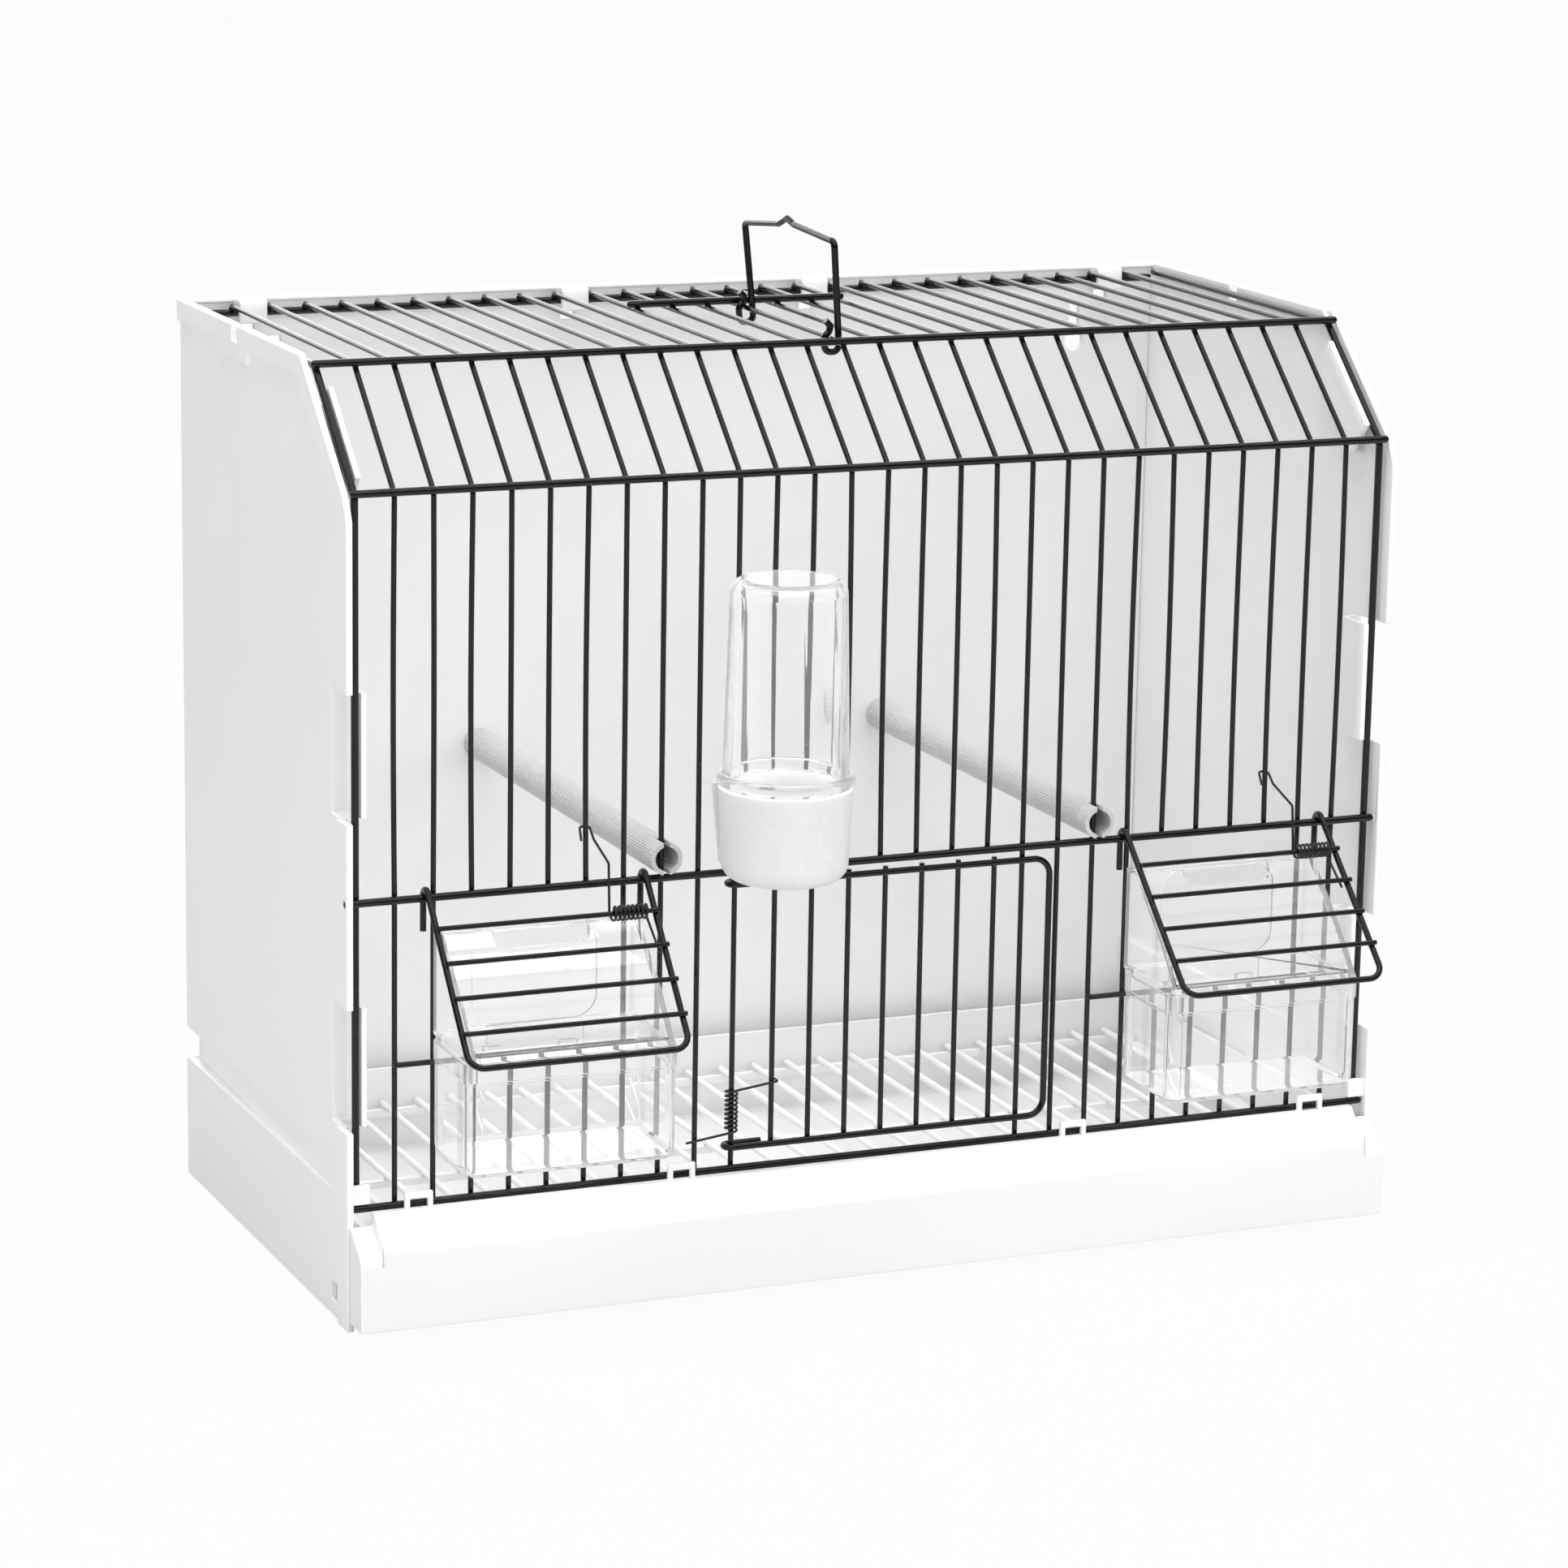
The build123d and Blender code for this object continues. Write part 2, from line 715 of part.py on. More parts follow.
end_block_top_z = end_block_low_z + end_block_height
end_block_front_y = -3.7
end_block_back_y = -1.6
end_block_width = 8.0
end_block_x = shell_half_width - end_block_width
groove_low_z = 41.0
groove_top_z = 51.5
groove_depth = 4.3
groove_front_y = 12.0
groove_wall = 2.0
lip_top_z = 2.7
lip_low_z = 0.5
lip_width = 6.3
lip_front_y = 4.0
cut_over = 1.0
plate_outer_x = shell_half_width - plate_proud
plate_inner_x = plate_outer_x - plate_thickness
lip_x = plate_inner_x - lip_width
back_front_y = shell_back_y - back_thickness
low_snap_y = 12.0
low_snap_z = 8.0
low_snap_size = 6.0
high_snap_y = 5.2
high_snap_z = 43.2
high_snap_width = 3.0
high_snap_height = 7.5
with BuildPart() as left_side_panel:
    with BuildSketch(side_view.offset(-shell_half_width)):
        with BuildLine():
            Polyline(
                (shell_back_y, shell_top_z),
                (outer_slope_top_y, shell_top_z),
                outer_slope_foot,
                (-tab_reach, tab_one_top_z),
                (-tab_reach, tab_one_foot_z),
                (tab_root_y, tab_one_foot_z),
                (tab_root_y, band_slope_foot_z),
                (band_slope_top_y, band_top_z),
                (flange_tab_front_y, band_top_z),
                (flange_tab_front_y, flange_tab_low_z),
                (flange_tab_back_y, flange_tab_low_z),
                (flange_tab_back_y, band_top_z),
                (shell_back_y, band_top_z),
                close=True,
            )
        make_face()
        for low, high in [(tab_two_foot_z, tab_two_top_z), (0, tab_three_top_z)]:
            with Locations(((tab_root_y - tab_reach) / 2, (low + high) / 2)):
                Rectangle(tab_root_y + tab_reach, high - low)
        with Locations((-rail_offset, mid_rail_z)):
            Circle(rail_d / 2 + rail_hole_clear, mode=Mode.SUBTRACT)
    extrude(amount=tab_thickness)
    with BuildSketch(side_view.offset(-plate_outer_x)):
        with BuildLine():
            Polyline(
                (shell_back_y, 0),
                (shell_back_y, shell_top_z),
                (plate_slope_top_y, shell_top_z),
                (plate_front_y, plate_slope_foot_z),
                (plate_front_y, tab_one_foot_z),
                (window_depth, tab_one_foot_z),
                (window_depth, tab_two_top_z),
                (plate_front_y, tab_two_top_z),
                (plate_front_y, tab_two_foot_z),
                (window_depth, tab_two_foot_z),
                (window_depth, tab_three_top_z),
                (plate_front_y, tab_three_top_z),
                (plate_front_y, 0),
                close=True,
            )
        make_face()
    extrude(amount=plate_thickness)
    # Inner tabs hold the edge wire from inside where the outer tabs leave off
    for low, high in [(tab_two_top_z, tab_one_foot_z), (tab_three_top_z, tab_two_foot_z)]:
        with BuildSketch(top_view.offset(low + tab_fit)):
            with BuildLine():
                Polyline(
                    (-plate_outer_x, window_depth),
                    (-inner_tab_x, window_depth),
                    (-inner_tab_x, inner_tab_front_y),
                    (-inner_tab_x + inner_tab_thickness, inner_tab_front_y),
                    (-inner_tab_x + inner_tab_thickness, window_depth + inner_web),
                    (-plate_outer_x, window_depth + inner_web),
                    close=True,
                )
            make_face()
        extrude(amount=high - low - 2 * tab_fit)
    # The same tab along the slope
    with BuildSketch(
        Plane(
            origin=at(0, slope_tab_start * slope_share_y, slope_foot_z + slope_tab_start * slope_share_z),
            x_dir=(1, 0, 0),
            z_dir=(0, slope_share_y, slope_share_z),
        )
    ):
        with BuildLine():
            Polyline(
                (-plate_outer_x, window_depth),
                (-inner_tab_x, window_depth),
                (-inner_tab_x, inner_tab_front_y),
                (-inner_tab_x + inner_tab_thickness, inner_tab_front_y),
                (-inner_tab_x + inner_tab_thickness, window_depth + inner_web),
                (-plate_outer_x, window_depth + inner_web),
                close=True,
            )
        make_face()
    extrude(amount=slope_tab_length)
    # Block over the lower end of the edge wire
    with BuildSketch(top_view.offset(end_block_low_z)):
        with Locations(
            (-(shell_half_width - cut_over + end_block_x) / 2, (end_block_front_y + end_block_back_y) / 2)
        ):
            Rectangle(
                shell_half_width - cut_over - end_block_x, end_block_back_y - end_block_front_y
            )
    extrude(amount=end_block_top_z - end_block_low_z)
    # Tapering groove along the side, with its wall stepped inwards
    with BuildSketch(top_view.offset(groove_low_z - groove_wall)):
        with BuildLine():
            Polyline(
                (-plate_inner_x - plate_thickness / 2, groove_front_y),
                (-plate_outer_x + groove_depth + groove_wall, back_front_y - side_fit),
                (-plate_inner_x - plate_thickness / 2, back_front_y - side_fit),
                close=True,
            )
        make_face()
    extrude(amount=groove_top_z - groove_low_z + 2 * groove_wall)
    with BuildSketch(top_view.offset(groove_low_z)):
        with BuildLine():
            Polyline(
                (-plate_outer_x, groove_front_y),
                (-plate_outer_x + groove_depth, shell_back_y),
                (-plate_outer_x, shell_back_y + cut_over),
                (-plate_outer_x - cut_over, groove_front_y),
                close=True,
            )
        make_face()
    extrude(amount=groove_top_z - groove_low_z, mode=Mode.SUBTRACT)
    # Lip that carries the drawer
    with BuildSketch(top_view.offset(lip_low_z)):
        with Locations(
            (-(plate_outer_x - cut_over + lip_x) / 2, (lip_front_y + back_front_y - side_fit) / 2)
        ):
            Rectangle(plate_outer_x - cut_over - lip_x, back_front_y - side_fit - lip_front_y)
    extrude(amount=lip_top_z - lip_low_z)
    # Gap in the top band and two snap holes
    with BuildSketch(side_view.offset(-shell_half_width - cut_over)):
        with Locations((flange_gap_y, (flange_gap_foot_z + shell_top_z + cut_over) / 2)):
            Rectangle(flange_gap_width, shell_top_z + cut_over - flange_gap_foot_z)
        with Locations((low_snap_y, low_snap_z)):
            Rectangle(low_snap_size, low_snap_size)
        with Locations((high_snap_y, high_snap_z)):
            Rectangle(high_snap_width, high_snap_height)
    extrude(amount=shell_half_width - plate_inner_x + 2 * cut_over, mode=Mode.SUBTRACT)
left_side_panel.part.label = "left_side_panel"
export_step(left_side_panel.part, "parts/left_side_panel.step")

with BuildPart() as right_side_panel:
    add(mirror(left_side_panel.part, about=Plane.YZ))
right_side_panel.part.label = "right_side_panel"
export_step(right_side_panel.part, "parts/right_side_panel.step")

# Back panel with straps over the rear rail, keyholes and perch bosses
back_half_width = plate_inner_x - side_fit
strap_width = 9.4
strap_xs = [wire_x((low + high) / 2) for low, high in strap_wires]
strap_reach = 3.5
strap_lip = 1.9
strap_drop = 7.6
strap_fit = 0.25
rim_width = 4.4
rim_height = 1.2
strap_front_y = rear_rail_y - strap_reach
strap_low_z = shell_top_z - strap_drop
strap_under_z = rear_rail_z + rail_d / 2 + strap_fit
rim_front_y = shell_back_y - rim_width
rim_low_z = shell_top_z - rim_height
snap_hole_width = 5.0
snap_hole_height = 2.6
snap_hole_drop = 10.2
snap_hole_z = shell_top_z - snap_hole_drop
keyhole_inset = 29.7
keyhole_drop = 26.4
keyhole_radius = 3.5
keyhole_slot_width = 3.8
keyhole_slot_reach = 13.3
keyhole_x = back_half_width - keyhole_inset
keyhole_z = shell_top_z - keyhole_drop
keyhole_slot_top_z = keyhole_z + keyhole_slot_reach
perch_rise = 6.65
perch_x = wire_x(perch_number)
perch_z = mid_rail_z + perch_rise
boss_radius = 3.6
boss_length = 11.0
with BuildPart() as back_panel:
    with BuildSketch(front_view.offset(-shell_back_y)):
        with Locations((0, shell_top_z / 2)):
            Rectangle(2 * back_half_width, shell_top_z)
        with Locations([(x, snap_hole_z) for x in strap_xs]):
            Rectangle(snap_hole_width, snap_hole_height, mode=Mode.SUBTRACT)
        with Locations((-keyhole_x, keyhole_z), (keyhole_x, keyhole_z)):
            Circle(keyhole_radius, mode=Mode.SUBTRACT)
        with Locations(
            (-keyhole_x, (keyhole_z + keyhole_slot_top_z) / 2),
            (keyhole_x, (keyhole_z + keyhole_slot_top_z) / 2),
        ):
            Rectangle(keyhole_slot_width, keyhole_slot_top_z - keyhole_z, mode=Mode.SUBTRACT)
        with Locations(
            (-plate_outer_x, (groove_low_z + groove_top_z) / 2),
            (plate_outer_x, (groove_low_z + groove_top_z) / 2),
        ):
            Rectangle(2 * groove_depth, groove_top_z - groove_low_z, mode=Mode.SUBTRACT)
    extrude(amount=back_thickness)
    with BuildSketch(side_view.offset(-back_half_width)):
        with Locations(((rim_front_y + shell_back_y) / 2, (rim_low_z + shell_top_z) / 2)):
            Rectangle(shell_back_y - rim_front_y, shell_top_z - rim_low_z)
    extrude(amount=2 * back_half_width)
    for x in strap_xs:
        with BuildSketch(side_view.offset(x - strap_width / 2)):
            with BuildLine():
                Polyline(
                    (shell_back_y, strap_under_z),
                    (strap_front_y + strap_lip, strap_under_z),
                    (strap_front_y + strap_lip, strap_low_z),
                    (strap_front_y, strap_low_z),
                    (strap_front_y, shell_top_z - strap_lip / 2),
                    (strap_front_y + strap_lip / 2, shell_top_z),
                    (shell_back_y, shell_top_z),
                    close=True,
                )
            make_face()
        extrude(amount=strap_width)
    with BuildSketch(front_view.offset(-back_front_y)):
        with Locations((-perch_x, perch_z), (perch_x, perch_z)):
            Circle(boss_radius)
    extrude(amount=boss_length)
back_panel.part.label = "back_panel"
export_step(back_panel.part, "parts/back_panel.step")

# Perches, hollow and slotted in front so that they straddle an upright
perch_radius = 5.25
perch_bore_radius = 3.85
perch_front_y = -5.2
perch_end_fit = 0.4
perch_back_y = back_front_y - perch_end_fit
perch_slot_width = 2.2
perch_slot_depth = 6.7
with BuildPart() as left_perch:
    with BuildSketch(front_view.offset(-perch_front_y)):
        with Locations((-perch_x, perch_z)):
            Circle(perch_radius)
            Circle(perch_bore_radius, mode=Mode.SUBTRACT)
    extrude(amount=perch_front_y - perch_back_y)
    with BuildSketch(front_view.offset(-perch_front_y)):
        with Locations((-perch_x, perch_z)):
            Rectangle(perch_slot_width, 2 * perch_radius + cut_over)
    extrude(amount=-perch_slot_depth, mode=Mode.SUBTRACT)
left_perch.part.label = "left_perch"
export_step(left_perch.part, "parts/left_perch.step")

with BuildPart() as right_perch:
    add(mirror(left_perch.part, about=Plane.YZ))
right_perch.part.label = "right_perch"
export_step(right_perch.part, "parts/right_perch.step")

# Drawer: a thick front with four arches over the bottom rail, and its tray
drawer_run = 0.3
drawer_end_inset = 0.7
drawer_shoulder = 7.3
drawer_back_y = -3.9
drawer_front_y = -16.3
drawer_top_drop = 0.5
drawer_flat_y = -6.8
drawer_slope_drop = 9.7
drawer_ridge_round = 3.0
drawer_end_back_y = -5.4
drawer_end_drop = 4.0
drawer_end_slope_drop = 8.5
drawer_end_round = 4.5
drawer_wall = 2.2
pocket_end = 3.5
pocket_rise = 0.4
tray_side_fit = 0.5
tray_back_gap = 6.3
drawer_low_z = lip_top_z + drawer_run
drawer_half = shell_half_width - drawer_end_inset
drawer_main_half = drawer_half - drawer_shoulder
drawer_top_z = bottom_rail_z - drawer_top_drop
drawer_ridge_z = drawer_top_z - drawer_slope_drop
drawer_end_top_z = drawer_top_z - drawer_end_drop
drawer_end_ridge_z = drawer_end_top_z - drawer_end_slope_drop
pocket_half = drawer_main_half - pocket_end
pocket_top_z = drawer_ridge_z + pocket_rise
tray_half = plate_inner_x - tray_side_fit
tray_back_y = back_front_y - tray_back_gap
tray_wall = 1.8
tray_depth = 30.0
tray_floor = 2.0
ledge_rise = 14.2
tray_top_z = drawer_low_z + tray_depth
tray_floor_top_z = drawer_low_z + tray_floor
ledge_top_z = drawer_low_z + ledge_rise
ledge_height = 2.0
ledge_width = 3.0
clip_xs = [wire_x((low + high) / 2) for low, high in clip_wires]
clip_width = 9.2
clip_rise = 4.5
clip_thickness = 1.7
clip_window_width = 5.8
clip_window_rise = 2.4
clip_window_drop = 4.3
clip_top_z = bottom_rail_z + clip_rise
clip_window_top_z = bottom_rail_z + clip_window_rise
clip_window_low_z = bottom_rail_z - clip_window_drop
with BuildPart() as drawer:
    with BuildSketch(side_view.offset(-drawer_main_half)) as drawer_main:
        with BuildLine():
            Polyline(
                (drawer_back_y, drawer_low_z),
                (drawer_front_y, drawer_low_z),
                (drawer_front_y, drawer_ridge_z),
                (drawer_flat_y, drawer_top_z),
                (drawer_back_y, drawer_top_z),
                close=True,
            )
        make_face()
        fillet(drawer_main.vertices().group_by(Axis.Y)[-2], drawer_ridge_round)
    extrude(amount=2 * drawer_main_half)
    with BuildSketch(side_view.offset(-drawer_half)) as drawer_ends:
        with BuildLine():
            Polyline(
                (drawer_end_back_y, drawer_low_z),
                (drawer_front_y, drawer_low_z),
                (drawer_front_y, drawer_end_ridge_z),
                (drawer_end_back_y, drawer_end_top_z),
                close=True,
            )
        make_face()
        fillet(drawer_ends.vertices().group_by(Axis.Y)[-2], drawer_end_round)
    extrude(amount=2 * drawer_half)
    with BuildSketch(top_view.offset(drawer_low_z)):
        with Locations((0, (drawer_back_y + tray_back_y) / 2)):
            Rectangle(2 * tray_half, tray_back_y - drawer_back_y)
    extrude(amount=tray_top_z - drawer_low_z)
    with BuildSketch(top_view.offset(tray_floor_top_z)):
        with Locations((0, (drawer_back_y + tray_back_y - tray_wall) / 2)):
            Rectangle(2 * (tray_half - tray_wall), tray_back_y - tray_wall - drawer_back_y)
    extrude(amount=tray_top_z, mode=Mode.SUBTRACT)
    with BuildSketch(top_view.offset(drawer_low_z)):
        with Locations((0, (drawer_front_y + drawer_back_y) / 2)):
            Rectangle(2 * pocket_half, drawer_back_y - drawer_front_y - 2 * drawer_wall)
    extrude(amount=pocket_top_z - drawer_low_z, mode=Mode.SUBTRACT)
    with BuildSketch(front_view.offset(-drawer_back_y)):
        with Locations([(x, (drawer_top_z - clip_thickness + clip_top_z) / 2) for x in clip_xs]):
            Rectangle(clip_width, clip_top_z - drawer_top_z + clip_thickness)
    extrude(amount=clip_thickness)
    with BuildSketch(front_view.offset(-drawer_back_y)):
        with Locations([(x, (clip_window_low_z + clip_window_top_z) / 2) for x in clip_xs]):
            Rectangle(clip_window_width, clip_window_top_z - clip_window_low_z)
    extrude(amount=clip_thickness, mode=Mode.SUBTRACT)
    for side in [-1, 1]:
        with BuildSketch(top_view.offset(ledge_top_z - ledge_height)):
            with Locations(
                (side * (tray_half - (tray_wall + ledge_width) / 2), (tray_back_y - drawer_wall) / 2)
            ):
                Rectangle(tray_wall + ledge_width, tray_back_y - drawer_wall)
        extrude(amount=ledge_height)
drawer.part.label = "drawer"
export_step(drawer.part, "parts/drawer.step")

# Floor grille, bars welded on cross bars that lie on the ledges of the drawer
grille_bar_d = 2.2
grille_cross = 2.4
grille_clear = 0.2
grille_front_y = 1.5
grille_end_fit = 0.9
grille_side_fit = 0.8
grille_cross_inset = 3.4
grille_back_y = tray_back_y - tray_wall - grille_end_fit
grille_half = tray_half - tray_wall - grille_side_fit
grille_cross_ys = [
    grille_front_y + grille_cross_inset,
    (grille_front_y + grille_back_y) / 2,
    grille_back_y - grille_cross_inset,
]
grille_numbers = list(range(1, wire_total - 1))
grille_cross_z = ledge_top_z + grille_clear
grille_bar_z = grille_cross_z + grille_cross + grille_bar_d / 2 + weld_gap
with BuildPart() as floor_grille:
    with BuildSketch(front_view.offset(-grille_back_y)):
        with Locations([(wire_x(number), grille_bar_z) for number in grille_numbers]):
            Circle(grille_bar_d / 2)
    extrude(amount=grille_back_y - grille_front_y)
    with BuildSketch(top_view.offset(grille_cross_z)):
        with Locations([(0, y) for y in grille_cross_ys]):
            Rectangle(2 * grille_half, grille_cross)
    extrude(amount=grille_cross)
floor_grille.part.label = "floor_grille"
export_step(floor_grille.part, "parts/floor_grille.step")

# Feeder trays, clear cups with a thicker rim
feeder_left_inset = 0.8
feeder_right_inset = 1.3
feeder_rim_proud = 0.5
feeder_back_y = -3.0
feeder_front_y = -39.3
feeder_rise = 8.4
feeder_height = 36.4
feeder_rim_height = 6.4
feeder_wall = 1.5
feeder_floor = 1.8
feeder_corner = 5.0
feeder_foot_round = 3.5
feeder_left_x = flap_left_x + feeder_left_inset
feeder_right_x = flap_right_x - feeder_right_inset
feeder_middle_x = (feeder_left_x + feeder_right_x) / 2
feeder_half = (feeder_right_x - feeder_left_x) / 2
feeder_top_z = sill_z + feeder_rise
feeder_low_z = feeder_top_z - feeder_height
feeder_rim_low_z = feeder_top_z - feeder_rim_height
with BuildPart() as left_feeder_tray:
    with BuildSketch(top_view.offset(feeder_low_z)):
        with Locations((feeder_middle_x, (feeder_back_y + feeder_front_y + feeder_rim_proud) / 2)):
            RectangleRounded(
                2 * (feeder_half - feeder_rim_proud),
                feeder_back_y - feeder_front_y - feeder_rim_proud,
                feeder_corner - feeder_rim_proud,
            )
    extrude(amount=feeder_top_z - feeder_low_z)
    fillet(left_feeder_tray.faces().sort_by(Axis.Z)[0].edges(), feeder_foot_round)
    with BuildSketch(top_view.offset(feeder_rim_low_z)):
        with Locations((feeder_middle_x, (feeder_back_y + feeder_front_y) / 2)):
            RectangleRounded(2 * feeder_half, feeder_back_y - feeder_front_y, feeder_corner)
    extrude(amount=feeder_top_z - feeder_rim_low_z)
    with BuildSketch(top_view.offset(feeder_low_z + feeder_floor)):
        with Locations((feeder_middle_x, (feeder_back_y + feeder_front_y) / 2)):
            RectangleRounded(
                2 * (feeder_half - feeder_wall),
                feeder_back_y - feeder_front_y - 2 * feeder_wall,
                feeder_corner - feeder_wall,
            )
    extrude(amount=feeder_top_z - feeder_low_z, mode=Mode.SUBTRACT)
left_feeder_tray.part.label = "left_feeder_tray"
export_step(left_feeder_tray.part, "parts/left_feeder_tray.step")

with BuildPart() as right_feeder_tray:
    add(left_feeder_tray.part.moved(Location((feeder_shift, 0, 0))))
right_feeder_tray.part.label = "right_feeder_tray"
export_step(right_feeder_tray.part, "parts/right_feeder_tray.step")

# Feeder hoods, clear covers whose skirt sits inside the tray
hood_side_inset = 1.9
hood_wall = 1.4
hood_back_y = -1.3
hood_front_inset = 0.1
hood_seat = 0.4
hood_flange = 1.2
hood_height = 33.6
hood_brow_y = -7.0
hood_knee_y = -27.0
hood_knee_rise = 14.6
skirt_fit = 0.4
skirt_wall = 1.3
skirt_depth = 6.2
hood_half = feeder_half - hood_side_inset
hood_front_y = feeder_front_y + hood_front_inset
hood_base_z = feeder_top_z + hood_seat
hood_flange_z = hood_base_z + hood_flange
hood_top_z = hood_base_z + hood_height
hood_knee_z = hood_base_z + hood_knee_rise
skirt_low_z = feeder_top_z - skirt_depth
skirt_half = feeder_half - feeder_wall - skirt_fit
skirt_front_y = feeder_front_y + feeder_wall + skirt_fit
skirt_back_y = feeder_back_y - feeder_wall - skirt_fit
access_inset = 12.3
access_drop = 2.5
access_corner = 7.0
finger_inset = 5.0
finger_depth = 5.5
access_half = hood_half - access_inset
access_top_z = hood_top_z - access_drop
finger_half = access_half - finger_inset
finger_low_z = hood_top_z - finger_depth
finger_corner = 4.0
finger_back_y = -5.5
finger_front_y = -16.0
hanger_margin = 3.5
hanger_seat = 0.2
hanger_hook_width = 6.0
hanger_hook_height = 1.6
hanger_lip_clear = 0.35
hanger_lip_thickness = 1.25
hanger_lip_drop = 3.0
hanger_half = wire_pitch + hanger_margin
hanger_low_z = sill_z + sill_wire_d / 2 + hanger_seat
hanger_hook_xs = [wire_x((low + high) / 2) for low, high in hanger_wires]
hanger_lip_front_y = -sill_offset + sill_wire_d / 2 + hanger_lip_clear
hanger_lip_back_y = hanger_lip_front_y + hanger_lip_thickness
hanger_lip_low_z = sill_z - hanger_lip_drop
with BuildPart() as left_feeder_hood:
    with BuildSketch(side_view.offset(feeder_middle_x - hood_half)):
        with BuildLine():
            Polyline(
                (hood_back_y, hood_base_z),
                (hood_back_y, hood_top_z),
                (hood_brow_y, hood_top_z),
                (hood_knee_y, hood_knee_z),
                (hood_front_y, hood_flange_z - hood_wall / 2),
                (hood_front_y, hood_base_z),
                close=True,
            )
        make_face()
    extrude(amount=2 * hood_half)
    with BuildSketch(side_view.offset(feeder_middle_x - hood_half + hood_wall)):
        with BuildLine():
            Polyline(
                (hood_back_y - hood_wall, hood_flange_z),
                (hood_back_y - hood_wall, hood_top_z - hood_wall),
                (hood_brow_y + hood_wall / 2, hood_top_z - hood_wall),
                (hood_knee_y + hood_wall, hood_knee_z - hood_wall / 2),
                (hood_front_y + 2 * hood_wall, hood_flange_z),
                close=True,
            )
        make_face()
    extrude(amount=2 * (hood_half - hood_wall), mode=Mode.SUBTRACT)
    with BuildSketch(top_view.offset(skirt_low_z)):
        with Locations((feeder_middle_x, (skirt_back_y + skirt_front_y) / 2)):
            RectangleRounded(
                2 * skirt_half, skirt_back_y - skirt_front_y, feeder_corner - feeder_wall - skirt_fit
            )
    extrude(amount=hood_base_z - skirt_low_z)
    with BuildSketch(top_view.offset(skirt_low_z)):
        with Locations((feeder_middle_x, (skirt_back_y + skirt_front_y) / 2)):
            RectangleRounded(
                2 * (skirt_half - skirt_wall),
                skirt_back_y - skirt_front_y - 2 * skirt_wall,
                feeder_corner - feeder_wall - skirt_fit - skirt_wall,
            )
    extrude(amount=hood_flange_z - skirt_low_z + cut_over / 2, mode=Mode.SUBTRACT)
    with BuildSketch(front_view.offset(-hood_back_y + hood_wall + cut_over)):
        with Locations((feeder_middle_x, (hood_flange_z + access_top_z) / 2)):
            RectangleRounded(2 * access_half, access_top_z - hood_flange_z, access_corner)
    extrude(amount=-hood_wall - 2 * cut_over, mode=Mode.SUBTRACT)
    with BuildSketch(front_view.offset(-finger_front_y)):
        with Locations((feeder_middle_x, (finger_low_z + hood_top_z + finger_corner) / 2)):
            RectangleRounded(
                2 * finger_half, hood_top_z + finger_corner - finger_low_z, finger_corner
            )
    extrude(amount=finger_front_y - finger_back_y, mode=Mode.SUBTRACT)
    # Strip below the access opening and the hooks over the sill wire
    with BuildSketch(front_view.offset(-hood_back_y)):
        with Locations((feeder_middle_x, (hanger_low_z + hood_base_z + cut_over) / 2)):
            Rectangle(2 * hanger_half, hood_base_z + cut_over - hanger_low_z)
    extrude(amount=hood_wall)
    for x in hanger_hook_xs:
        with BuildSketch(side_view.offset(x - hanger_hook_width / 2)):
            with BuildLine():
                Polyline(
                    (hood_back_y - hood_wall, hanger_low_z),
                    (hanger_lip_front_y, hanger_low_z),
                    (hanger_lip_front_y, hanger_lip_low_z),
                    (hanger_lip_back_y, hanger_lip_low_z),
                    (hanger_lip_back_y, hanger_low_z + hanger_hook_height),
                    (hood_back_y - hood_wall, hanger_low_z + hanger_hook_height),
                    close=True,
                )
            make_face()
        extrude(amount=hanger_hook_width)
left_feeder_hood.part.label = "left_feeder_hood"
export_step(left_feeder_hood.part, "parts/left_feeder_hood.step")

with BuildPart() as right_feeder_hood:
    add(left_feeder_hood.part.moved(Location((feeder_shift, 0, 0))))
right_feeder_hood.part.label = "right_feeder_hood"
export_step(right_feeder_hood.part, "parts/right_feeder_hood.step")

# Drinker cup with its spout between two uprights, and its bracket plate
cup_ring_inset = 0.5
cup_taper = 1.4
cup_rise = 2.55
cup_height = 29.7
cup_round = 6.0
cup_wall = 1.6
cup_floor = 2.0
spout_side_fit = 0.775
spout_wall = 1.3
spout_back_y = 14.0
spout_front_y = -10.0
spout_rise = 0.6
spout_height = 18.8
spout_floor = 1.8
bracket_front_y = -2.7
bracket_back_y = -1.3
bracket_top_drop = 2.8
bracket_rise = 0.9
bracket_top_half = 15.3
bracket_low_half = 12.5
drinker_x = wire_x((drinker_wires[0] + drinker_wires[1]) / 2)
cup_top_radius = drinker_ring_radius - cup_ring_inset
cup_foot_radius = cup_top_radius - cup_taper
cup_low_z = mid_rail_z + cup_rise
cup_top_z = cup_low_z + cup_height
spout_half = (wire_pitch - upright_d) / 2 - spout_side_fit
spout_low_z = cup_low_z + spout_rise
spout_top_z = spout_low_z + spout_height
spout_floor_z = spout_low_z + spout_floor
bracket_top_z = cup_top_z - bracket_top_drop
bracket_low_z = cup_low_z + bracket_rise
drinker_plane = Plane(
    origin=(drinker_x, front_y + drinker_axis_y, 0), x_dir=(1, 0, 0), z_dir=(0, -1, 0)
)
drinker_axis = Axis((drinker_x, front_y + drinker_axis_y, 0), (0, 0, 1))
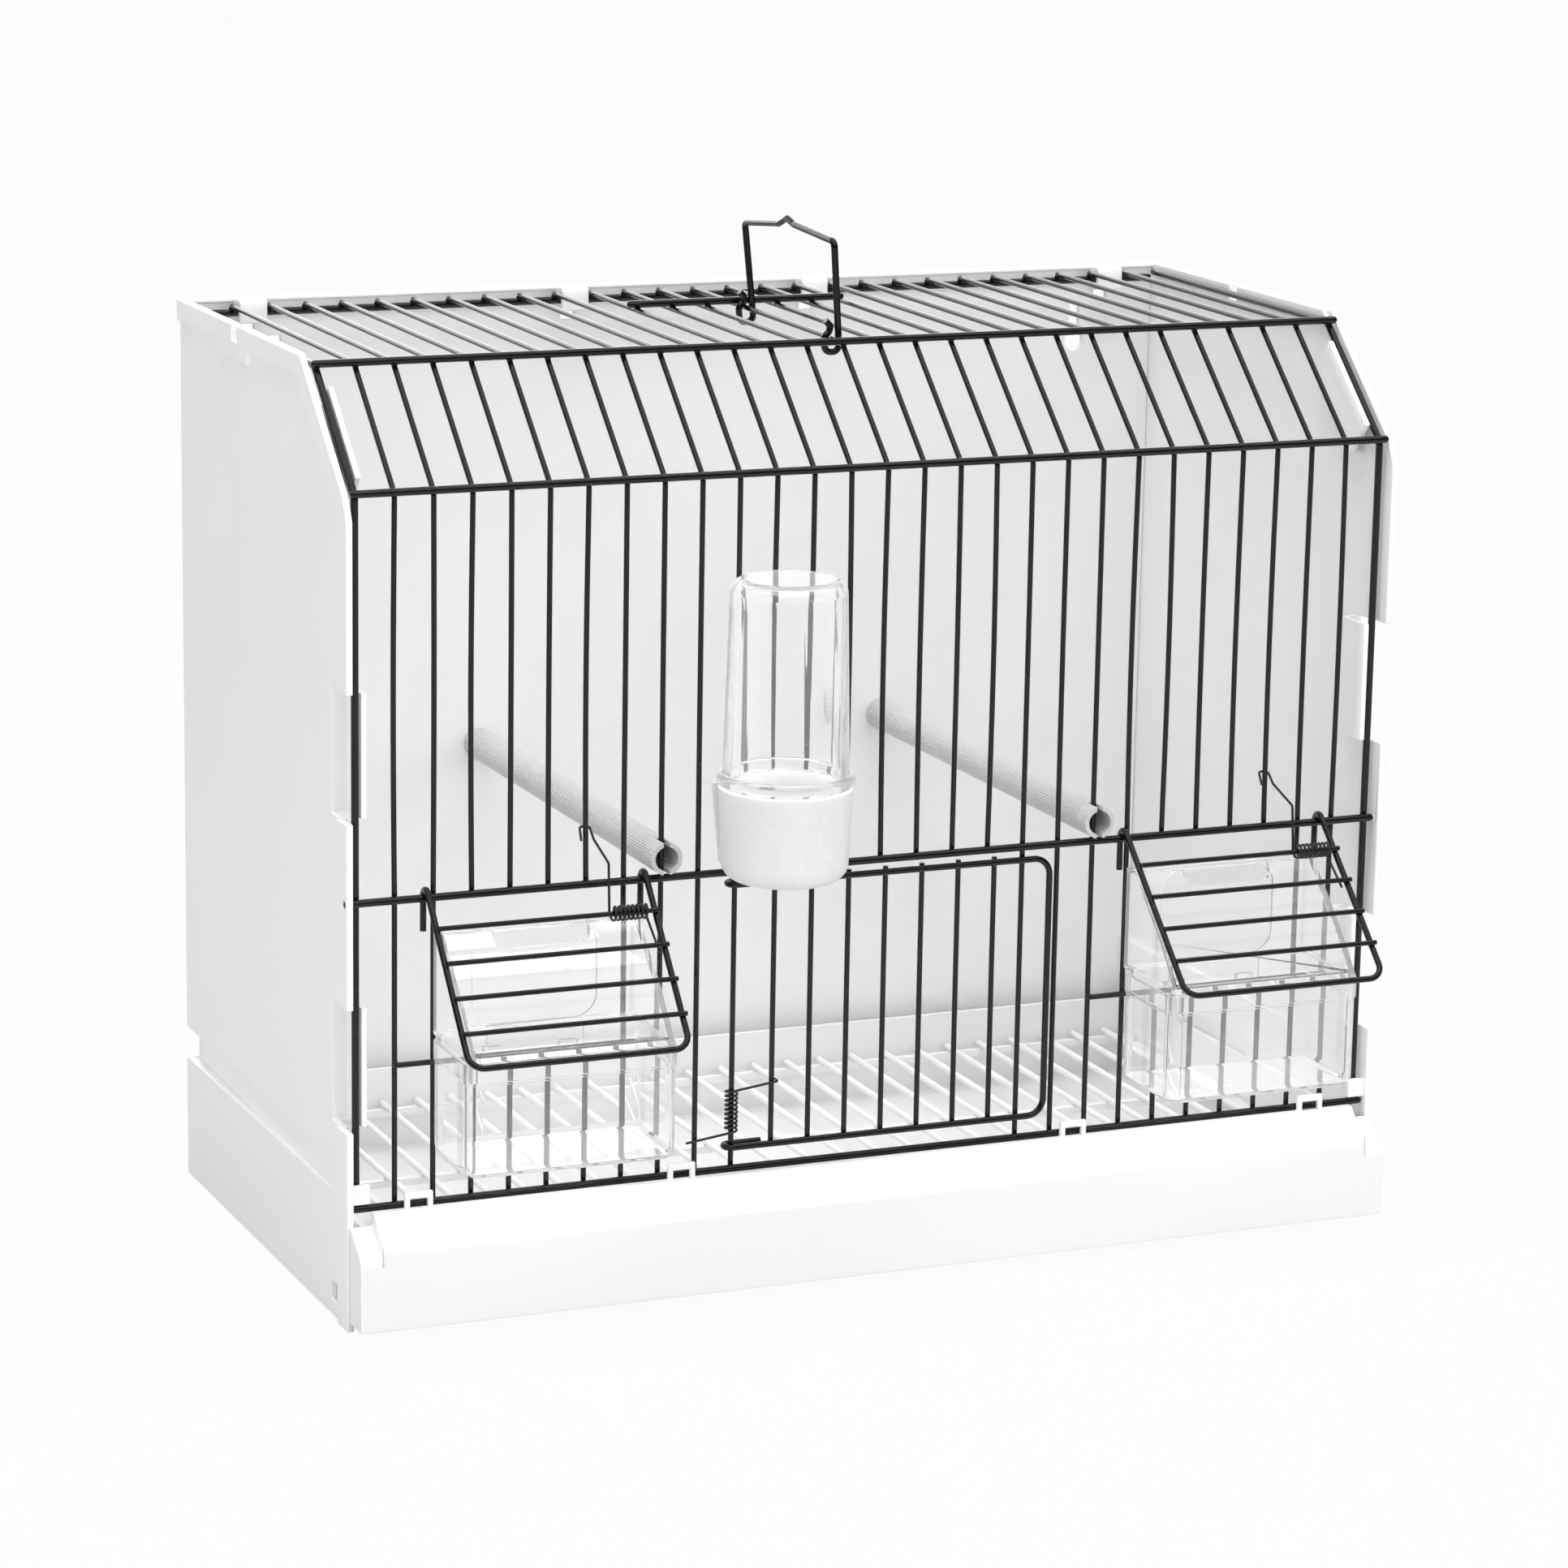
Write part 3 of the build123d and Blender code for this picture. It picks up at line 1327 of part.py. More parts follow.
with BuildPart() as drinker_cup:
    with BuildSketch(drinker_plane) as cup_outline:
        with BuildLine():
            Polyline(
                (0, cup_low_z),
                (cup_foot_radius, cup_low_z),
                (cup_top_radius, cup_top_z),
                (0, cup_top_z),
                close=True,
            )
        make_face()
        fillet(cup_outline.vertices().group_by(Axis.Y)[0].sort_by(Axis.X)[-1], cup_round)
    revolve(axis=drinker_axis)
    with BuildSketch(side_view.offset(drinker_x - spout_half)):
        with Locations(((spout_front_y + spout_back_y) / 2, (spout_low_z + spout_top_z) / 2)):
            Rectangle(spout_back_y - spout_front_y, spout_top_z - spout_low_z)
    extrude(amount=2 * spout_half)
    with BuildSketch(front_view.offset(-bracket_back_y)):
        with BuildLine():
            Polyline(
                (drinker_x - bracket_low_half, bracket_low_z),
                (drinker_x + bracket_low_half, bracket_low_z),
                (drinker_x + bracket_top_half, bracket_top_z),
                (drinker_x - bracket_top_half, bracket_top_z),
                close=True,
            )
        make_face()
    extrude(amount=bracket_back_y - bracket_front_y)
    with BuildSketch(drinker_plane) as cup_hollow:
        with BuildLine():
            Polyline(
                (0, cup_low_z + cup_floor),
                (cup_foot_radius - cup_wall, cup_low_z + cup_floor),
                (cup_top_radius - cup_wall, cup_top_z),
                (0, cup_top_z),
                close=True,
            )
        make_face()
        fillet(cup_hollow.vertices().group_by(Axis.Y)[0].sort_by(Axis.X)[-1], cup_round - cup_wall)
    revolve(axis=drinker_axis, mode=Mode.SUBTRACT)
    with BuildSketch(side_view.offset(drinker_x - spout_half + spout_wall)):
        with Locations(
            ((drinker_axis_y + spout_back_y - spout_wall) / 2, (spout_floor_z + spout_top_z) / 2)
        ):
            Rectangle(spout_back_y - spout_wall - drinker_axis_y, spout_top_z - spout_floor_z)
    extrude(amount=2 * (spout_half - spout_wall), mode=Mode.SUBTRACT)
drinker_cup.part.label = "drinker_cup"
export_step(drinker_cup.part, "parts/drinker_cup.step")

# Drinker tube, an inverted clear bottle whose shoulder rests on the cup
tube_wall = 1.3
tube_top_wall = 1.6
tube_neck_fit = 0.9
tube_neck_length = 12.6
tube_seat = 0.3
tube_shoulder_height = 4.0
tube_shoulder_round = 1.6
tube_shoulder_step = 1.8
tube_taper = 1.6
tube_height = 64.8
tube_top_round = 4.5
tube_neck_radius = cup_top_radius - cup_wall - tube_neck_fit
tube_shoulder_low_z = cup_top_z + tube_seat
tube_neck_low_z = tube_shoulder_low_z - tube_neck_length
tube_shoulder_top_z = tube_shoulder_low_z + tube_shoulder_height
tube_foot_radius = drinker_ring_radius - tube_shoulder_step
tube_top_radius = tube_foot_radius - tube_taper
tube_top_z = tube_shoulder_low_z + tube_height
with BuildPart() as drinker_tube:
    with BuildSketch(drinker_plane) as tube_outline:
        with BuildLine():
            Polyline(
                (0, tube_neck_low_z),
                (tube_neck_radius, tube_neck_low_z),
                (tube_neck_radius, tube_shoulder_low_z),
                (drinker_ring_radius, tube_shoulder_low_z),
                (drinker_ring_radius, tube_shoulder_top_z),
                (tube_foot_radius, tube_shoulder_top_z),
                (tube_top_radius, tube_top_z),
                (0, tube_top_z),
                close=True,
            )
        make_face()
        fillet(tube_outline.vertices().sort_by(Axis.X)[-2:], tube_shoulder_round)
        fillet(tube_outline.vertices().group_by(Axis.Y)[-1].sort_by(Axis.X)[-1], tube_top_round)
    revolve(axis=drinker_axis)
    with BuildSketch(drinker_plane) as tube_hollow:
        with BuildLine():
            Polyline(
                (0, tube_neck_low_z),
                (tube_neck_radius - tube_wall, tube_neck_low_z),
                (tube_neck_radius - tube_wall, tube_shoulder_top_z),
                (tube_top_radius - tube_wall, tube_top_z - tube_top_wall),
                (0, tube_top_z - tube_top_wall),
                close=True,
            )
        make_face()
        fillet(
            tube_hollow.vertices().group_by(Axis.Y)[-1].sort_by(Axis.X)[-1], tube_top_round - tube_wall
        )
    revolve(axis=drinker_axis, mode=Mode.SUBTRACT)
drinker_tube.part.label = "drinker_tube"
export_step(drinker_tube.part, "parts/drinker_tube.step")
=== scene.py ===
import math
import random

import bmesh
import bpy
from mathutils import Matrix, Vector


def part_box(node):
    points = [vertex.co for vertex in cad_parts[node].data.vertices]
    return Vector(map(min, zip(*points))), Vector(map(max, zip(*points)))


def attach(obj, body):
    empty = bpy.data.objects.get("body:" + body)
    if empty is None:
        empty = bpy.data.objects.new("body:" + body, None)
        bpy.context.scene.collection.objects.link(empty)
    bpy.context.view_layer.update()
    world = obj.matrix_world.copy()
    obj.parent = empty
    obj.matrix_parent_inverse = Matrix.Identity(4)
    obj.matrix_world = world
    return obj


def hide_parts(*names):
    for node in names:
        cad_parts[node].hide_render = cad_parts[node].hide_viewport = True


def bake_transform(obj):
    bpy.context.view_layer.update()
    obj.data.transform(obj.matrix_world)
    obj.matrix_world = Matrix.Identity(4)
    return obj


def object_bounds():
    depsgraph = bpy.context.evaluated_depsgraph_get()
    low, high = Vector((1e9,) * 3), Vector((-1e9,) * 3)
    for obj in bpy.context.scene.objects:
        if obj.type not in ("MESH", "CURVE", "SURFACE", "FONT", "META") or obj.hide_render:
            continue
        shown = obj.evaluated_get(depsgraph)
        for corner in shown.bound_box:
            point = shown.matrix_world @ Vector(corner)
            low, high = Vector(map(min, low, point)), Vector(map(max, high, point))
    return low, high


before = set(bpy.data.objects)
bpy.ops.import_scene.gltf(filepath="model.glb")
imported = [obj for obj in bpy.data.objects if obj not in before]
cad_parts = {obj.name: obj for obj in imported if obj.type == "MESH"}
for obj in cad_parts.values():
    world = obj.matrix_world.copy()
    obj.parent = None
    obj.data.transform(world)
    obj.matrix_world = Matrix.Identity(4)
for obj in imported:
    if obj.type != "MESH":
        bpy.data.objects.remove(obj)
cad_low, cad_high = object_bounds()

# Side panels: each is one white moulding, a plain wall with a proud band that
# follows the ends of the wires and holds them in place. The two snap on to the
# back panel, and every edge of the moulding is slightly rounded.
mm = 0.001
collection = bpy.context.scene.collection
knit_distance = 0.002 * mm
flat_angle = math.radians(0.6)
edge_angle = math.radians(35)
panel_edge = 0.35 * mm
panel_edge_steps = 2
fine_share = 0.25
patch_low = 0.3
patch_high = 0.7


def plain_mesh(piece):
    """Applies the piece's modifiers and takes them off."""
    evaluated = piece.evaluated_get(bpy.context.evaluated_depsgraph_get())
    mesh = bpy.data.meshes.new_from_object(evaluated)
    piece.modifiers.clear()
    piece.data = mesh
    return piece


def softened(node, name, edge, steps):
    """A copy of a moulded node whose sharp edges are rounded."""
    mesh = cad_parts[node].data.copy()
    knit = bmesh.new()
    knit.from_mesh(mesh)
    bmesh.ops.remove_doubles(knit, verts=knit.verts, dist=knit_distance)
    bmesh.ops.dissolve_limit(knit, angle_limit=flat_angle, verts=knit.verts, edges=knit.edges)
    knit.to_mesh(mesh)
    knit.free()
    mesh.shade_smooth()
    piece = bpy.data.objects.new(name, mesh)
    collection.objects.link(piece)
    mesh.materials.clear()
    rounding = piece.modifiers.new("edges", "BEVEL")
    rounding.width = edge
    rounding.segments = steps
    rounding.limit_method = "ANGLE"
    rounding.angle_limit = edge_angle
    rounding.use_clamp_overlap = False
    piece.modifiers.new("flat faces stay flat", "WEIGHTED_NORMAL")
    return plain_mesh(piece)


def moulded_surface_group():
    """Faint unevenness of a moulded or dipped surface: a mask and a height."""
    group = bpy.data.node_groups.new("moulded surface", "ShaderNodeTree")
    face = group.interface
    for label, value in (("Scale", 900.0), ("Sweep", 30.0)):
        face.new_socket(label, in_out="INPUT", socket_type="NodeSocketFloat").default_value = value
    face.new_socket("Patches", in_out="OUTPUT", socket_type="NodeSocketFloat")
    face.new_socket("Height", in_out="OUTPUT", socket_type="NodeSocketFloat")
    nodes, links = group.nodes, group.links
    entry = nodes.new("NodeGroupInput")
    leave = nodes.new("NodeGroupOutput")
    place = nodes.new("ShaderNodeTexCoord")
    fine = nodes.new("ShaderNodeTexNoise")
    broad = nodes.new("ShaderNodeTexNoise")
    both = nodes.new("ShaderNodeMath")
    both.operation = "MULTIPLY_ADD"
    both.inputs[1].default_value = fine_share
    for noise, label in ((fine, "Scale"), (broad, "Sweep")):
        links.new(place.outputs["Object"], noise.inputs["Vector"])
        links.new(entry.outputs[label], noise.inputs["Scale"])
    links.new(fine.outputs["Fac"], both.inputs[0])
    links.new(broad.outputs["Fac"], both.inputs[2])
    links.new(broad.outputs["Fac"], leave.inputs["Patches"])
    links.new(both.outputs[0], leave.inputs["Height"])
    return group


moulded_surface = moulded_surface_group()


def plastic(name, pale, dark, rough_low, rough_high, bump, grain, sweep):
    """Moulded plastic or a dipped coat: two close colours, patchy gloss, bump."""
    material = bpy.data.materials.new(name)
    material.use_nodes = True
    nodes, links = material.node_tree.nodes, material.node_tree.links
    shader = nodes["Principled BSDF"]
    surface = nodes.new("ShaderNodeGroup")
    surface.node_tree = moulded_surface
    surface.inputs["Scale"].default_value = grain
    surface.inputs["Sweep"].default_value = sweep
    colour = nodes.new("ShaderNodeMix")
    colour.data_type = "RGBA"
    colour.inputs["A"].default_value = (*dark, 1)
    colour.inputs["B"].default_value = (*pale, 1)
    gloss = nodes.new("ShaderNodeMapRange")
    gloss.inputs["From Min"].default_value = patch_low
    gloss.inputs["From Max"].default_value = patch_high
    gloss.inputs["To Min"].default_value = rough_low
    gloss.inputs["To Max"].default_value = rough_high
    relief = nodes.new("ShaderNodeBump")
    relief.inputs["Strength"].default_value = 1.0
    relief.inputs["Distance"].default_value = bump
    links.new(surface.outputs["Patches"], colour.inputs["Factor"])
    links.new(surface.outputs["Patches"], gloss.inputs["Value"])
    links.new(surface.outputs["Height"], relief.inputs["Height"])
    links.new(colour.outputs["Result"], shader.inputs["Base Color"])
    links.new(gloss.outputs["Result"], shader.inputs["Roughness"])
    links.new(relief.outputs["Normal"], shader.inputs["Normal"])
    return material


white_plastic = plastic(
    "white plastic",
    pale=(0.94, 0.94, 0.935),
    dark=(0.93, 0.93, 0.925),
    rough_low=0.34,
    rough_high=0.44,
    bump=0.02 * mm,
    grain=1100.0,
    sweep=28.0,
)
for side in ("left", "right"):
    panel = softened(side + "_side_panel", side + "_side_wall", panel_edge, panel_edge_steps)
    panel.data.materials.append(white_plastic)
    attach(panel, "cage")
    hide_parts(side + "_side_panel")

# Back panel: the white rear wall. Four straps reach forward over the rear rail
# and hook down in front of it, two keyholes hang the cage on screws, and a boss
# stands behind each perch.
wall = softened("back_panel", "rear_wall", panel_edge, panel_edge_steps)
wall.data.materials.append(white_plastic)
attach(wall, "cage")
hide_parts("back_panel")

# Front and roof wires: steel wire bent at the slope's foot and top, dipped in
# black, welded inside the rails. The long runs between two rails are never
# quite straight, and the dip leaves each cut end round.
wire_pitch = 12.5 * mm
wire_total = 29
middle_wire = (wire_total - 1) / 2
upright_d = 1.75 * mm
edge_wire_d = 2.4 * mm
rail_d = 2.5 * mm
bend_radius = 3.0 * mm
route_step = 9.0 * mm
bend_steps = 6
bow_most = 0.55 * mm
bow_seed = 7
coat_lumps = 0.03
coat_lump_scale = 160.0
tip_shares = ((0.0, 0.12), (0.12, 0.55), (0.45, 0.87), (1.0, 1.0))
wire_sides = 14
long_numbers = [1, 2, 7, 8, 9, 10, 18, 19, 20, 21, 26, 27]
short_numbers = [3, 4, 5, 6, 11, 12, 13, 14, 15, 16, 17, 22, 23, 24, 25]
straight_numbers = [8, 10, 20]
edge_numbers = [0, 28]
wires_low, wires_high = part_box("long_wires")
front_plane_y = wires_low.y + upright_d / 2
top_plane_z = wires_high.z - upright_d / 2
rear_end_y = wires_high.y
foot_end_z = wires_low.z
short_end_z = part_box("short_wires")[0].z
middle_low, middle_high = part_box("middle_rail")
middle_rail_z = (middle_low.z + middle_high.z) / 2
slope_foot_z = 261.5 * mm
slope_depth = 38.4 * mm
roof_drop = 0.7 * mm
roof_front_z = top_plane_z - roof_drop
slope_lean = math.atan2(slope_depth, roof_front_z - slope_foot_z)


def wire_x(number):
    """The place across the cage of a front wire, counted from the left."""
    return (number - middle_wire) * wire_pitch


def bent_route(corners, radius, step):
    """Points along straight runs that are joined by round bends."""
    points = [Vector(corners[0])]
    for before, corner, after in zip(corners, corners[1:], corners[2:]):
        before, corner, after = Vector(before), Vector(corner), Vector(after)
        back = (before - corner).normalized()
        on = (after - corner).normalized()
        half = back.angle(on) / 2
        cut = radius / math.tan(half)
        centre = corner + (back + on).normalized() * radius / math.sin(half)
        start = (corner + back * cut - centre).normalized()
        end = (corner + on * cut - centre).normalized()
        points += straight_run(points[-1], centre + start * radius, step)
        for turn in range(1, bend_steps + 1):
            points.append(centre + start.slerp(end, turn / bend_steps, start) * radius)
    points += straight_run(points[-1], Vector(corners[-1]), step)
    return points


def straight_run(start, end, step):
    """Points after the start of a straight run, its end among them."""
    count = max(1, math.ceil((end - start).length / step))
    return [start.lerp(end, i / count) for i in range(1, count + 1)]


def bowed(points, low_z, high_z, bow):
    """Pushes the points between two rails sideways, most in the middle."""
    for point in points:
        share = (point.z - low_z) / (high_z - low_z)
        if 0 < share < 1:
            point.x += bow * math.sin(math.pi * share)
    return points


def with_tips(points, wire_d):
    """Adds points close to both ends, each with its share of the thickness."""
    wire_r = wire_d / 2
    head = (points[1] - points[0]).normalized()
    tail = (points[-2] - points[-1]).normalized()
    front = [(points[0] + head * wire_r * along, share) for along, share in tip_shares]
    rear = [(points[-1] + tail * wire_r * along, share) for along, share in tip_shares]
    return front + [(point, 1.0) for point in points[1:-1]] + rear[::-1]


def coated_wire_tree():
    """Sweeps a round section along each curve, with a slightly lumpy coat."""
    tree = bpy.data.node_groups.new("coated wire", "GeometryNodeTree")
    face = tree.interface
    face.new_socket("Routes", in_out="INPUT", socket_type="NodeSocketGeometry")
    for label, kind in (
        ("Wire radius", "NodeSocketFloat"),
        ("Sides", "NodeSocketInt"),
        ("Lumps", "NodeSocketFloat"),
        ("Lump scale", "NodeSocketFloat"),
        ("Coat", "NodeSocketMaterial"),
    ):
        face.new_socket(label, in_out="INPUT", socket_type=kind)
    face.new_socket("Wires", in_out="OUTPUT", socket_type="NodeSocketGeometry")
    nodes, links = tree.nodes, tree.links
    entry = nodes.new("NodeGroupInput")
    leave = nodes.new("NodeGroupOutput")
    noise = nodes.new("ShaderNodeTexNoise")
    centred = nodes.new("ShaderNodeMath")
    centred.operation = "SUBTRACT"
    centred.inputs[1].default_value = 0.5
    swell = nodes.new("ShaderNodeMath")
    swell.operation = "MULTIPLY_ADD"
    swell.inputs[2].default_value = 1.0
    old_radius = nodes.new("GeometryNodeInputRadius")
    new_radius = nodes.new("ShaderNodeMath")
    new_radius.operation = "MULTIPLY"
    set_radius = nodes.new("GeometryNodeSetCurveRadius")
    section = nodes.new("GeometryNodeCurvePrimitiveCircle")
    sweep = nodes.new("GeometryNodeCurveToMesh")
    sweep.inputs["Fill Caps"].default_value = True
    realize = nodes.new("GeometryNodeRealizeInstances")
    coat = nodes.new("GeometryNodeSetMaterial")
    links.new(entry.outputs["Lump scale"], noise.inputs["Scale"])
    links.new(noise.outputs["Fac"], centred.inputs[0])
    links.new(centred.outputs[0], swell.inputs[0])
    links.new(entry.outputs["Lumps"], swell.inputs[1])
    links.new(swell.outputs[0], new_radius.inputs[0])
    links.new(old_radius.outputs["Radius"], new_radius.inputs[1])
    links.new(entry.outputs["Routes"], set_radius.inputs["Curve"])
    links.new(new_radius.outputs[0], set_radius.inputs["Radius"])
    links.new(entry.outputs["Sides"], section.inputs["Resolution"])
    links.new(entry.outputs["Wire radius"], section.inputs["Radius"])
    links.new(set_radius.outputs["Curve"], sweep.inputs["Curve"])
    links.new(new_radius.outputs[0], sweep.inputs["Scale"])
    links.new(section.outputs["Curve"], sweep.inputs["Profile Curve"])
    links.new(sweep.outputs["Mesh"], realize.inputs["Geometry"])
    links.new(realize.outputs["Geometry"], coat.inputs["Geometry"])
    links.new(entry.outputs["Coat"], coat.inputs["Material"])
    links.new(coat.outputs["Geometry"], leave.inputs["Wires"])
    return tree


def set_inputs(modifier, values):
    """Sets a tree's inputs by their names, through each socket's identifier."""
    for item in modifier.node_group.interface.items_tree:
        if item.in_out == "INPUT" and item.name in values:
            modifier[item.identifier] = values[item.name]


coated_wire = coated_wire_tree()
black_coat = plastic(
    "black coat",
    pale=(0.005, 0.005, 0.0055),
    dark=(0.003, 0.003, 0.0033),
    rough_low=0.12,
    rough_high=0.2,
    bump=0.01 * mm,
    grain=500.0,
    sweep=60.0,
)


def wires(name, routes, wire_d):
    """One piece made of coated wires, each along its own list of points."""
    curve = bpy.data.curves.new(name, "CURVE")
    curve.dimensions = "3D"
    for points in routes:
        tipped = with_tips(points, wire_d)
        spline = curve.splines.new("POLY")
        spline.points.add(len(tipped) - 1)
        for place, (point, share) in zip(spline.points, tipped):
            place.co = (*point, 1)
            place.radius = share
    source = bpy.data.objects.new(name + " route", curve)
    collection.objects.link(source)
    modifier = source.modifiers.new("coat", "NODES")
    modifier.node_group = coated_wire
    set_inputs(
        modifier,
        {
            "Wire radius": wire_d / 2,
            "Sides": wire_sides,
            "Lumps": coat_lumps,
            "Lump scale": coat_lump_scale,
            "Coat": black_coat,
        },
    )
    evaluated = source.evaluated_get(bpy.context.evaluated_depsgraph_get())
    mesh = bpy.data.meshes.new_from_object(evaluated)
    bpy.data.objects.remove(source)
    bpy.data.curves.remove(curve)
    mesh.shade_smooth()
    piece = bpy.data.objects.new(name, mesh)
    collection.objects.link(piece)
    return piece


def front_wire(number, wire_d, foot_z, bow):
    """The route of one bent wire, from the rear rail to its foot."""
    inset = (wire_d - upright_d) / 2
    x = wire_x(number)
    y = front_plane_y + inset
    top_y = front_plane_y + slope_depth + inset * math.tan((math.pi / 2 - slope_lean) / 2)
    corners = [
        (x, rear_end_y, top_plane_z - inset),
        (x, top_y, roof_front_z - inset),
        (x, y, slope_foot_z - inset * math.tan(slope_lean / 2)),
        (x, y, foot_z),
    ]
    points = bent_route(corners, bend_radius, route_step)
    return bowed(points, middle_rail_z, slope_foot_z - bend_radius, bow)


chance = random.Random(bow_seed)
bows = [chance.uniform(-bow_most, bow_most) for _ in range(wire_total)]
for number in straight_numbers + edge_numbers:
    bows[number] = 0.0
for node, name, numbers, wire_d, foot_z in (
    ("long_wires", "long_bars", long_numbers, upright_d, foot_end_z),
    ("short_wires", "short_bars", short_numbers, upright_d, short_end_z),
    ("edge_wires", "edge_bars", edge_numbers, edge_wire_d, foot_end_z),
):
    routes = [front_wire(number, wire_d, foot_z, bows[number]) for number in numbers]
    bars = wires(name, routes, wire_d)
    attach(bars, "cage")
    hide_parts(node)

# Rails: straight wires of the same dipped steel, welded across the front and
# roof wires. Two short sill wires carry the feeders, and a short brace lies on
# the roof behind the carrying loop.
for node, name in (
    ("bottom_rail", "low_rail"),
    ("middle_rail", "mid_rail"),
    ("slope_foot_rail", "slope_rail"),
    ("top_front_rail", "roof_front_rail"),
    ("rear_rail", "roof_rear_rail"),
    ("left_sill_wire", "left_sill"),
    ("right_sill_wire", "right_sill"),
    ("top_brace_wire", "roof_brace"),
):
    low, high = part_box(node)
    start = Vector((low.x, (low.y + high.y) / 2, (low.z + high.z) / 2))
    end = Vector((high.x, start.y, start.z))
    rail = wires(name, [[start] + straight_run(start, end, route_step)], high.z - low.z)
    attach(rail, "cage")
    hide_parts(node)

# Sill uprights: short straight wires under the two feeder openings, welded
# between the bottom rail and the sill wires.
sill_numbers = [3, 4, 5, 6, 22, 23, 24, 25]
beside_sill_numbers = [1, 2, 7, 8, 20, 21, 26, 27]
sill_low, sill_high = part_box("sill_uprights")
routes = []
for number in sill_numbers:
    start = Vector((wire_x(number), front_plane_y, sill_high.z))
    end = Vector((wire_x(number), front_plane_y, sill_low.z))
    routes.append([start] + straight_run(start, end, route_step))
sills = wires("sill_bars", routes, upright_d)
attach(sills, "cage")
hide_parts("sill_uprights")

# Welds: the small bead of metal and coat that fills the corner wherever a rail
# crosses a wire.
bead_half_width = 1.25 * mm
bead_half_depth = 0.8 * mm
bead_half_height = 1.15 * mm
bead_rings = 6
bead_segments = 10


def bead_tree():
    """Puts one rounded bead on each point."""
    tree = bpy.data.node_groups.new("weld beads", "GeometryNodeTree")
    face = tree.interface
    face.new_socket("Points", in_out="INPUT", socket_type="NodeSocketGeometry")
    for label, kind in (
        ("Half sizes", "NodeSocketVector"),
        ("Segments", "NodeSocketInt"),
        ("Rings", "NodeSocketInt"),
        ("Coat", "NodeSocketMaterial"),
    ):
        face.new_socket(label, in_out="INPUT", socket_type=kind)
    face.new_socket("Beads", in_out="OUTPUT", socket_type="NodeSocketGeometry")
    nodes, links = tree.nodes, tree.links
    entry = nodes.new("NodeGroupInput")
    leave = nodes.new("NodeGroupOutput")
    bead = nodes.new("GeometryNodeMeshUVSphere")
    bead.inputs["Radius"].default_value = 1.0
    smooth = nodes.new("GeometryNodeSetShadeSmooth")
    spread = nodes.new("GeometryNodeInstanceOnPoints")
    realize = nodes.new("GeometryNodeRealizeInstances")
    coat = nodes.new("GeometryNodeSetMaterial")
    links.new(entry.outputs["Segments"], bead.inputs["Segments"])
    links.new(entry.outputs["Rings"], bead.inputs["Rings"])
    links.new(bead.outputs["Mesh"], smooth.inputs["Geometry"])
    links.new(entry.outputs["Points"], spread.inputs["Points"])
    links.new(smooth.outputs["Geometry"], spread.inputs["Instance"])
    links.new(entry.outputs["Half sizes"], spread.inputs["Scale"])
    links.new(spread.outputs["Instances"], realize.inputs["Geometry"])
    links.new(realize.outputs["Geometry"], coat.inputs["Geometry"])
    links.new(entry.outputs["Coat"], coat.inputs["Material"])
    links.new(coat.outputs["Geometry"], leave.inputs["Beads"])
    return tree


weld_beads = bead_tree()


def beads(name, places, half_sizes):
    """One piece made of weld beads at the given places."""
    mesh = bpy.data.meshes.new(name)
    mesh.from_pydata([tuple(place) for place in places], [], [])
    piece = bpy.data.objects.new(name, mesh)
    collection.objects.link(piece)
    modifier = piece.modifiers.new("beads", "NODES")
    modifier.node_group = weld_beads
    set_inputs(
        modifier,
        {
            "Half sizes": half_sizes,
            "Segments": bead_segments,
            "Rings": bead_rings,
            "Coat": black_coat,
        },
    )
    return plain_mesh(piece)


def rail_middle(node):
    """The depth and the height at which a rail's middle lies."""
    low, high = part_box(node)
    return (low.y + high.y) / 2, (low.z + high.z) / 2


front_face_y = front_plane_y - upright_d / 2
foot_numbers = edge_numbers + long_numbers + sill_numbers
all_numbers = edge_numbers + long_numbers + short_numbers
inner_numbers = long_numbers + short_numbers
bottom_z = rail_middle("bottom_rail")[1]
foot_y, foot_z = rail_middle("slope_foot_rail")
top_y, top_z = rail_middle("top_front_rail")
rear_y = rail_middle("rear_rail")[0]
sill_z = rail_middle("left_sill_wire")[1]
brace_y, brace_z = rail_middle("top_brace_wire")
brace_low, brace_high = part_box("top_brace_wire")
places = [(wire_x(number), front_face_y, bottom_z) for number in foot_numbers]
places += [(wire_x(number), front_face_y, middle_rail_z) for number in all_numbers]
places += [(wire_x(number), front_face_y, sill_z) for number in sill_numbers + beside_sill_numbers]
foot_lean = slope_lean / 2
for y, z, lean in ((foot_y, foot_z, foot_lean), (top_y, top_z, slope_lean)):
    inward = Vector((0, math.cos(lean), -math.sin(lean))) * rail_d / 2
    places += [(wire_x(number), y + inward.y, z + inward.z) for number in all_numbers]
places += [(wire_x(number), rear_y, top_plane_z - upright_d / 2) for number in inner_numbers]
places += [
    (wire_x(number), brace_y, brace_z - rail_d / 2)
    for number in inner_numbers
    if brace_low.x < wire_x(number) < brace_high.x
]
welds = beads("weld_beads", places, (bead_half_width, bead_half_depth, bead_half_height))
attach(welds, "cage")

# Carrying loop: one piece of thick dipped wire with a small kink on top. Its two hooks go round the
# middle roof wire, on which the real loop folds down to either side; here it keeps the frame's pose and
# gets only its finish.


def dress(node, material):
    """Gives a node of the frame its finish and leaves its shape as it is."""
    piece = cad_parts[node]
    piece.data.materials.clear()
    piece.data.materials.append(material)


dress("carry_handle", black_coat)

# Main door: a frame wire with its two ends turned round one upright as hinge
# eyes, and seven uprights welded behind it.
for node in ("door_frame", "door_uprights"):
    dress(node, black_coat)
